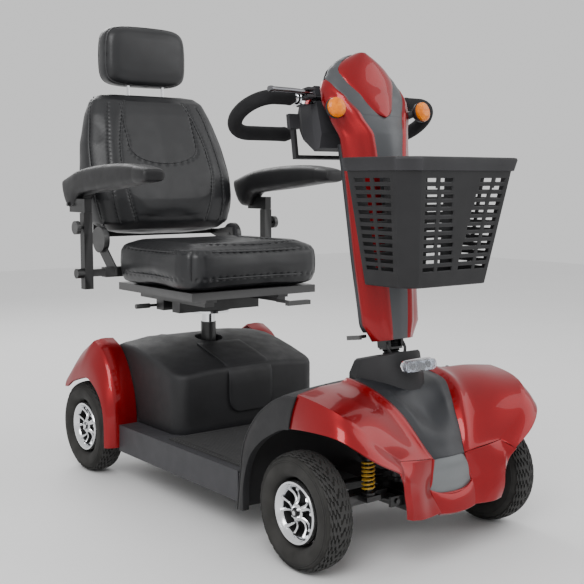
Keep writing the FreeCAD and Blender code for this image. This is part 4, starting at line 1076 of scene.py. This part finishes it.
meshPiece("Dial_ring", *tubeMesh(ring, 1.3, 8, closed=True), "chromePlate", "tiller")
print("controls made")

# basket with rolled rim and slots that fan out from the middle
basketLook = {"mouthHalf": 176, "footHalf": 130, "mouthFront": -692, "footFront": -646, "mouthBack": -497,
              "footBack": -513,
              "foot": 612, "mouth": 886, "cut": 30, "rows": 64}


def basketRing(t, grow=0.0, columns=(26, 6, 44, 6, 26, 30)):
    look = basketLook
    half = look["footHalf"] + (look["mouthHalf"] - look["footHalf"]) * t + grow
    front = look["footFront"] + (look["mouthFront"] - look["footFront"]) * t - grow
    back = look["footBack"] + (look["mouthBack"] - look["footBack"]) * t + grow
    cut = look["cut"] + 8 * t
    z = look["foot"] + (look["mouth"] - look["foot"]) * t
    corners = [(-half, back), (-half, front + cut), (-half + cut, front), (half - cut, front),
               (half, front + cut), (half, back)]
    ring, places = [], []
    for wall, count in enumerate(columns):
        (x, y), (x2, y2) = corners[wall], corners[(wall + 1) % 6]
        for k in range(count):
            ring.append(at(x + (x2 - x) * k / count, y + (y2 - y) * k / count, z))
            places.append((wall, (k + 0.5) / count))
    return ring, places


def basketOpen(wall, across, row):
    height = row / basketLook["rows"]
    if not 0.1 < height < 0.84 or row % 4 > 1:
        return False
    if wall in (0, 4):
        fromRear = across if wall == 0 else 1 - across
        return 0.1 < fromRear < 0.46 or 0.54 < fromRear < 0.9
    if wall == 2:
        away = abs(across - 0.5)
        plain = 0.035 + 0.17 * height ** 1.3
        return plain < away < 0.455 and abs(away - 0.27 - 0.05 * height) > 0.022
    if wall == 5:
        return 0.12 < across < 0.88 and abs(across - 0.5) > 0.2
    return False


points, faces = [], []
rowCount = basketLook["rows"]
for row in range(rowCount + 1):
    ring, places = basketRing(row / rowCount)
    points += ring
columnCount = len(places)
for row in range(rowCount):
    for column, (wall, across) in enumerate(places):
        if not basketOpen(wall, across, row):
            nextColumn = (column + 1) % columnCount
            faces.append((row * columnCount + column, row * columnCount + nextColumn,
                          (row + 1) * columnCount + nextColumn, (row + 1) * columnCount + column))
basketWall = meshPiece("Basket_walls", points, faces, "blackMoulding", "basket", stands=("basket",),
                       slot="black_moulding", sharp=25)
rounded(thicken(basketWall, 3.2), 0.6, 1, 60)
# (height, how far out) round the rolled rim
rimLine = ((0.895, 0.5), (0.9, 5.5), (0.985, 7), (1.0, 5), (1.004, 0), (1.0, -4), (0.985, -4.5), (0.9, -2))
rimRings = [basketRing(t, grow)[0] for t, grow in rimLine]
count = len(rimRings[0])
lastRing = (len(rimRings) - 1) * count
rimFaces = gridFaces(len(rimRings), count, closed=True)
rimFaces += [(lastRing + j, lastRing + (j + 1) % count, (j + 1) % count, j) for j in range(count)]
meshPiece("Basket_rim", [p for ring in rimRings for p in ring], rimFaces, "blackMoulding", "basket",
          slot="black_moulding", sharp=40)
bottom, _ = basketRing(0.002, -1)
middle = sum(bottom, Vector()) / len(bottom)
rings = [[middle + (p - middle) * s for p in bottom] for s in (1.0, 0.8, 0.6, 0.4, 0.2, 0.02)]
bottomFaces = [f for i, f in enumerate(gridFaces(6, len(bottom), closed=True))
               if not (i // len(bottom) in (1, 3) and i % len(bottom) % 6 < 4)]
meshBottom = meshPiece("Basket_floor", [p for ring in rings for p in ring], bottomFaces, "blackMoulding",
                       "basket", slot="black_moulding")
thicken(meshBottom, 3)
print("basket made")

# cushions: a crowned closed form is swelled by cloth pressure, then its seams are pressed in
seatLook = {"voxel": 0.006, "pressure": 4.0, "frames": 20, "cap": 0.008, "pipe": 2.6, "stitch": 1.1,
            "evenings": 45, "mass": 0.3, "stretch": 60, "bend": 8, "groove": 2.6, "grooveWidth": 5}


def evenRing(points, count):
    # the same closed outline, with equal steps along it
    loop = points + [points[0]]
    lengths = [(b - a).length for a, b in zip(loop, loop[1:])]
    total, even, i, done = sum(lengths), [], 0, 0.0
    for k in range(count):
        want = total * k / count
        while i < len(lengths) - 1 and done + lengths[i] < want:
            done += lengths[i]
            i += 1
        even.append(loop[i].lerp(loop[i + 1], (want - done) / lengths[i] if lengths[i] else 0))
    return even


def ringForm(rings):
    count = len(rings[0])
    assert all(len(ring) == count for ring in rings), "rings differ in length"
    points = [p for ring in rings for p in ring]
    faces = gridFaces(len(rings), count, closed=True)
    return points, faces + [tuple(range(count)), tuple(range((len(rings) - 1) * count, len(rings) * count))]


def applied(piece):
    # the modifiers become the mesh
    graph = bpy.context.evaluated_depsgraph_get()
    made = bpy.data.meshes.new_from_object(piece.evaluated_get(graph))
    piece.modifiers.clear()
    old, piece.data = piece.data, made
    bpy.data.meshes.remove(old)
    return piece


def evened(mesh, moves):
    # a taut cover has no creases, so neighbours share their movement
    ends = np.array([edge.vertices[:] for edge in mesh.edges])
    field = np.array([tuple(move) for move in moves])
    count = np.bincount(ends.ravel(), minlength=len(field))[:, None]
    for _ in range(seatLook["evenings"]):
        total = np.zeros_like(field)
        np.add.at(total, ends[:, 0], field[ends[:, 1]])
        np.add.at(total, ends[:, 1], field[ends[:, 0]])
        field = 0.4 * field + 0.6 * total / np.maximum(count, 1)
    return [Vector(row) for row in field]


def plump(piece, cap):
    # cloth pressure swells the form; no point moves further than cap
    remesh = piece.modifiers.new("even", "REMESH")
    remesh.mode, remesh.voxel_size = "VOXEL", seatLook["voxel"]
    applied(piece)
    before = [v.co.copy() for v in piece.data.vertices]
    cloth = piece.modifiers.new("swell", "CLOTH")
    cloth.settings.use_pressure = True
    cloth.settings.uniform_pressure_force = seatLook["pressure"]
    cloth.settings.effector_weights.gravity = 0
    cloth.settings.quality = 4
    cloth.settings.mass = seatLook["mass"]
    cloth.settings.tension_stiffness = cloth.settings.compression_stiffness = seatLook["stretch"]
    cloth.settings.bending_stiffness = seatLook["bend"]
    cloth.collision_settings.use_collision = False
    scene = bpy.context.scene
    for number in range(1, seatLook["frames"] + 1):
        scene.frame_set(number)
    applied(piece)
    scene.frame_set(1)
    moves = evened(piece.data, [v.co - start for v, start in zip(piece.data.vertices, before)])
    for vertex, start, move in zip(piece.data.vertices, before, moves):
        vertex.co = start + (move if move.length <= cap else move.normalized() * cap)
    finer = piece.modifiers.new("finer", "SUBSURF")
    finer.levels = finer.render_levels = 1
    return applied(piece)


def calmed(line, closed):
    # takes the small jumps out of a line that was fitted to a surface
    for _ in range(6):
        inner = range(len(line)) if closed else range(1, len(line) - 1)
        middles = {i: (line[i - 1] + line[i] * 2 + line[(i + 1) % len(line)]) / 4 for i in inner}
        line = [middles.get(i, p) for i, p in enumerate(line)]
    return line


def pressSeams(piece, lines):
    # a soft groove along every seam
    depth, width = seatLook["groove"], seatLook["grooveWidth"]
    skin = BVHTree.FromPolygons([v.co for v in piece.data.vertices],
                                [p.vertices for p in piece.data.polygons])
    fitted = [[skin.find_nearest(p)[0] for p in line] for line in lines]
    spots = [p for line in fitted for p in line]
    tree = KDTree(len(spots))
    for i, p in enumerate(spots):
        tree.insert(p, i)
    tree.balance()
    moves = []
    for vertex in piece.data.vertices:
        gap = tree.find(vertex.co)[2] / mm
        sunk = depth * math.exp(-(gap / width) ** 2) if gap < width * 3 else 0
        moves.append(vertex.normal * -sunk * mm)
    for vertex, move in zip(piece.data.vertices, moves):
        vertex.co += move
    for polygon in piece.data.polygons:
        polygon.use_smooth = True
    return fitted


def cushion(name, rings, body, node, cap, seams, piping):
    piece = meshPiece(name, *ringForm(rings), "seatVinyl", body, stands=(node,), slot="seat_vinyl")
    piece = plump(piece, cap)
    piece.data.materials.clear()
    piece.data.materials.append(finishes["seatVinyl"])
    lines = pressSeams(piece, seams + piping)
    for k, line in enumerate(lines):
        isPipe = k >= len(seams)
        closed = (line[0] - line[-1]).length < 0.01
        points = calmed(line[:-1] if closed else line, closed)
        made = tubeMesh(points, seatLook["pipe" if isPipe else "stitch"], 8, closed)
        label = f"{name}_{'piping' if isPipe else 'stitching'}_{k + 1}"
        cord = meshPiece(label, *made, "seatVinyl", body, slot="seat_vinyl")
        cord.parent = piece.parent


def roundedOblong(halfX, low, high, frontRadius, rearRadius, z, steps=9):
    points = []
    quarters = ((1, low, frontRadius, -90, 1), (1, high, rearRadius, 0, -1), (-1, high, rearRadius, 90, -1),
                (-1, low, frontRadius, 180, 1))
    for sx, y, r, start, sy in quarters:
        for k in range(steps):
            turn = math.radians(start + 90 * k / (steps - 1))
            points.append(at(sx * (halfX - r) + r * math.cos(turn), y + sy * r + r * math.sin(turn), z))
    return evenRing(points, 72)


def drawnBox(node):
    # a node's box in the drawing's millimetres
    return [(v.x / mm, (v.y - axleMiddle) / mm, v.z / mm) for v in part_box(node)]


(_, y0, z0), (x1, y1, z1) = drawnBox("seat_cushion")
y1 += 28  # the cushion's back tucks under the backrest
half = x1 - 7
rings = [roundedOblong(half - i, y0 + 7 + i * 1.2, y1 - 7 - i, 62 - i, 45 - i, z) for i, z in
         ((22, z0 + 5), (8, z0 + 9), (0, z0 + 26), (-2, (z0 + z1) / 2), (0, z1 - 26), (7, z1 - 13))]
for i, lift in ((20, -8), (42, -4), (66, -5), (92, -11), (130, -13), (170, -13)):
    rings.append(roundedOblong(half - i, y0 + 7 + i * 1.15, y1 - 7 - i, max(6, 62 - i), max(6, 45 - i),
                               z1 + lift))
ring = rings[5]
edgeRing = [Vector((p.x, p.y, z1 * mm - 0.016)) for p in ring + ring[:1]]
lower = [Vector((p.x, p.y, z0 * mm + 0.03)) for p in rings[2] + rings[2][:1]]
bolster = [at(half - 74, y1 - 70 - (y1 - y0 - 130) * (k / 14), z1) for k in range(15)]
bolster += [at((half - 74) * math.cos(math.pi * k / 16), y0 + 62 - 20 * math.sin(math.pi * k / 16), z1)
            for k in range(1, 16)]
bolster += [at(-(half - 74), y0 + 60 + (y1 - y0 - 130) * k / 14, z1) for k in range(15)]
corners = [[at(sx * (half - 18), y0 + 25, z0 + 28 + (z1 - z0 - 46) * k / 14) for k in range(15)]
           for sx in (-1, 1)]
cushion("Seat_cushion", rings, "seat", "seat_cushion", seatLook["cap"], [bolster] + corners,
        [edgeRing, lower])
print("seat cushion made")

backShape = [(690, 196, 530, 640), (712, 228, 512, 655), (780, 247, 514, 678), (856, 251, 532, 690),
             (950, 240, 568, 702),
             (1035, 216, 603, 708), (1080, 196, 627, 704), (1098, 172, 645, 696)]


def backPoint(share, turn):
    # a ring around the backrest; turn 0 at the right, the front at 270 degrees
    i = min(len(backShape) - 2, int(share * (len(backShape) - 1)))
    t = share * (len(backShape) - 1) - i
    z, wide, front, back = (a + (b - a) * t for a, b in zip(backShape[i], backShape[i + 1]))
    c, s = math.cos(turn), math.sin(turn)
    x = wide * math.copysign(abs(c) ** 0.55, c)
    y = (front + back) / 2 + (back - front) / 2 * math.copysign(abs(s) ** 0.6, s)
    if s < 0:
        # hollow middle
        y += 16 * (1 - min(1, abs(x) / (0.8 * wide)) ** 2) * math.sin(math.pi * min(1, max(0, share)))
    return at(x, y, z)


rings = [[backPoint(k / 14, 2 * math.pi * j / 60) for j in range(60)] for k in range(15)]
topCentre = sum(rings[-1], Vector()) / 60
rings.append([p.lerp(topCentre, 0.25) + Vector((0, 0, 0.006)) for p in rings[-1]])
bottomCentre = sum(rings[0], Vector()) / 60
rings.insert(0, [p.lerp(bottomCentre, 0.22) - Vector((0, 0, 0.007)) for p in rings[0]])


def frontOf(x, z):
    # a point just ahead of the backrest, to be dropped onto its skin
    for (low, _, front, _), (high, _, nextFront, _) in zip(backShape, backShape[1:]):
        if z <= high:
            t = max(0, (z - low) / (high - low))
            return at(x, front + (nextFront - front) * t - 12, z)
    return at(x, backShape[-1][2] - 12, z)


def widthAt(z):
    return read([(row[0], row[1]) for row in backShape], z)


inner = [[frontOf(sx * widthAt(z) * (0.52 + 0.1 * math.sin((z - 700) / 390 * math.pi)), z)
          for z in range(712, 1086, 12)] for sx in (-1, 1)]
outer = [[frontOf(sx * widthAt(z) * 0.8, z) for z in range(705, 1082, 12)] for sx in (-1, 1)]
panel = [frontOf(-118 + 4 * math.sin(k), 1075 - 14 * k) for k in range(11)]
panel += [frontOf(-118 * math.cos(math.pi * k / 14), 935 - 42 * math.sin(math.pi * k / 14))
          for k in range(1, 14)]
panel += [frontOf(118, 935 + 14 * k) for k in range(11)]
gusset = [[at(sx * (widthAt(z) - 6), frontOf(0, z).y / mm - axleMiddle / mm + 38 + 14, z)
           for z in range(705, 1092, 12)] for sx in (-1, 1)]
cushion("Backrest_cushion", rings, "backrest", "backrest_cushion", 0.007, inner + outer + [panel], gusset)
print("backrest made")

(_, y0, z0), (x1, y1, z1) = drawnBox("headrest_cushion")


def headRing(inset, y):
    # a rounded oblong, a little narrower at the top
    half, bottom, top = x1 - 5 - inset, z0 + 5 + inset, z1 - 5 - inset
    points = []
    for k in range(56):
        turn = 2 * math.pi * k / 56
        c, s = math.cos(turn), math.sin(turn)
        x = half * math.copysign(abs(c) ** 0.42, c)
        z = (bottom + top) / 2 + (top - bottom) / 2 * math.copysign(abs(s) ** 0.42, s)
        points.append(at(x * (1 - (z - bottom) / (top - bottom) * 0.02), y, z))
    return points


rings = [headRing(inset, y) for inset, y in (
    (75, y0 + 5), (40, y0 + 6), (17, y0 + 10), (4, y0 + 22), (0, y0 + 40), (0, y1 - 36), (4, y1 - 18),
    (18, y1 - 8),
    (40, y1 - 5), (75, y1 - 4))]
seam = [headRing(3, y0 + 26), headRing(3, y1 - 24)]
cushion("Headrest_cushion", rings, "headrest", "headrest_cushion", 0.006, [],
        [line + [line[0]] for line in seam])
print("headrest made")

# moulded arm pads
padShape = [(104, 840, 861, 27), (107, 835, 867, 32), (120, 831, 872, 34.5), (160, 829, 878, 35),
            (166, 830, 877, 33.8), (172, 828, 879, 35.2),
            (217, 823, 884, 36), (330, 811, 884, 36), (440, 803, 876, 36), (498, 799, 867, 36),
            (514, 778, 864, 35.5),
            (530, 757, 860, 35), (556, 753, 853, 34), (574, 774, 847, 32), (592, 815, 841, 28),
            (599, 830, 838, 20)]
for side, out in sides.items():
    low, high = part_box(f"armrest_pad_{side}")
    middle = (low.x + high.x) / 2 / mm
    rings = []
    for y, bottom, top, half in padShape:
        ring = []
        for k in range(32):
            turn = 2 * math.pi * k / 32
            c, s = math.cos(turn), math.sin(turn)
            z = (bottom + top) / 2 + (top - bottom) / 2 * math.copysign(abs(s) ** 0.65, s)
            ring.append(at(middle + half * math.copysign(abs(c) ** 0.6, c), y, z))
        rings.append(ring)
    pad = meshPiece(f"Arm_pad_{side}", *ringForm(rings), "padSkin", f"armrest_pad_{side}",
                    stands=(f"armrest_pad_{side}",), slot="arm_foam")
    finer = pad.modifiers.new("finer", "SUBSURF")
    finer.levels = finer.render_levels = 1
print("arm pads made")

# caps over the recliner, each with a chrome bolt
pivot = jointSpot("backrest_recline")
for side, out in sides.items():
    cap = turned([(222, 37), (229, 38), (233, 35), (235, 28), (235.5, 10)], Vector((0, pivot.y, pivot.z)),
                 Vector((out, 0, 0)), 44)
    meshPiece(f"Recliner_cap_{side}", *cap, "blackMoulding", "backrest", slot="black_moulding")
    screw(f"Recliner_bolt_{side}", Vector((out * 0.2355, pivot.y, pivot.z)), (out, 0, 0), 7, "backrest",
          "chromePlate")
print("recliner caps made")


# floor, lights and camera
stageLook = {"floorSize": 14, "keyPower": 110, "fillPower": 34, "rimPower": 50, "worldLight": 0.85}
floor = bpy.data.meshes.new("Studio_floor")
half = stageLook["floorSize"] / 2
floor.from_pydata([(-half, -half, 0), (half, -half, 0), (half, half, 0), (-half, half, 0)], [],
                  [(0, 1, 2, 3)])
floorPiece = bpy.data.objects.new("Studio_floor", floor)
floorPiece.data.materials.append(finishes["studioFloor"])
bpy.context.collection.objects.link(floorPiece)
floorPiece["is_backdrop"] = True


def softLight(name, place, target, power, size):
    lamp = bpy.data.lights.new(name, "AREA")
    lamp.energy, lamp.size = power, size
    made = bpy.data.objects.new(name, lamp)
    bpy.context.collection.objects.link(made)
    made.location = place
    made.rotation_euler = (Vector(target) - Vector(place)).to_track_quat("-Z", "Y").to_euler()


softLight("Key_light", (-2.6, -2.4, 3.2), (0, 0, 0.5), stageLook["keyPower"], 2.2)
softLight("Fill_light", (2.8, -2.2, 2.4), (0, 0, 0.5), stageLook["fillPower"], 2.6)
softLight("Rim_light", (0.6, 3.2, 2.8), (0, 0, 0.7), stageLook["rimPower"], 2.0)
world = bpy.data.worlds.new("Studio")
world.use_nodes = True
world.node_tree.nodes["Background"].inputs["Color"].default_value = (1, 1, 1, 1)
world.node_tree.nodes["Background"].inputs["Strength"].default_value = stageLook["worldLight"]
bpy.context.scene.world = world

cameraLook = {"place": (-1.636, -2.2205, 0.8385), "tilt": 83.88, "turn": -37.35, "lens": 64.3}
camera = bpy.data.cameras.new("Camera")
camera.lens, camera.sensor_width = cameraLook["lens"], 36
cameraPiece = bpy.data.objects.new("Camera", camera)
cameraPiece.location = Vector(cameraLook["place"]) + Vector((0, axleMiddle, 0))
cameraPiece.rotation_euler = (math.radians(cameraLook["tilt"]), 0, math.radians(cameraLook["turn"]))
bpy.context.collection.objects.link(cameraPiece)
bpy.context.scene.camera = cameraPiece
print("stage made")

low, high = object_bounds()
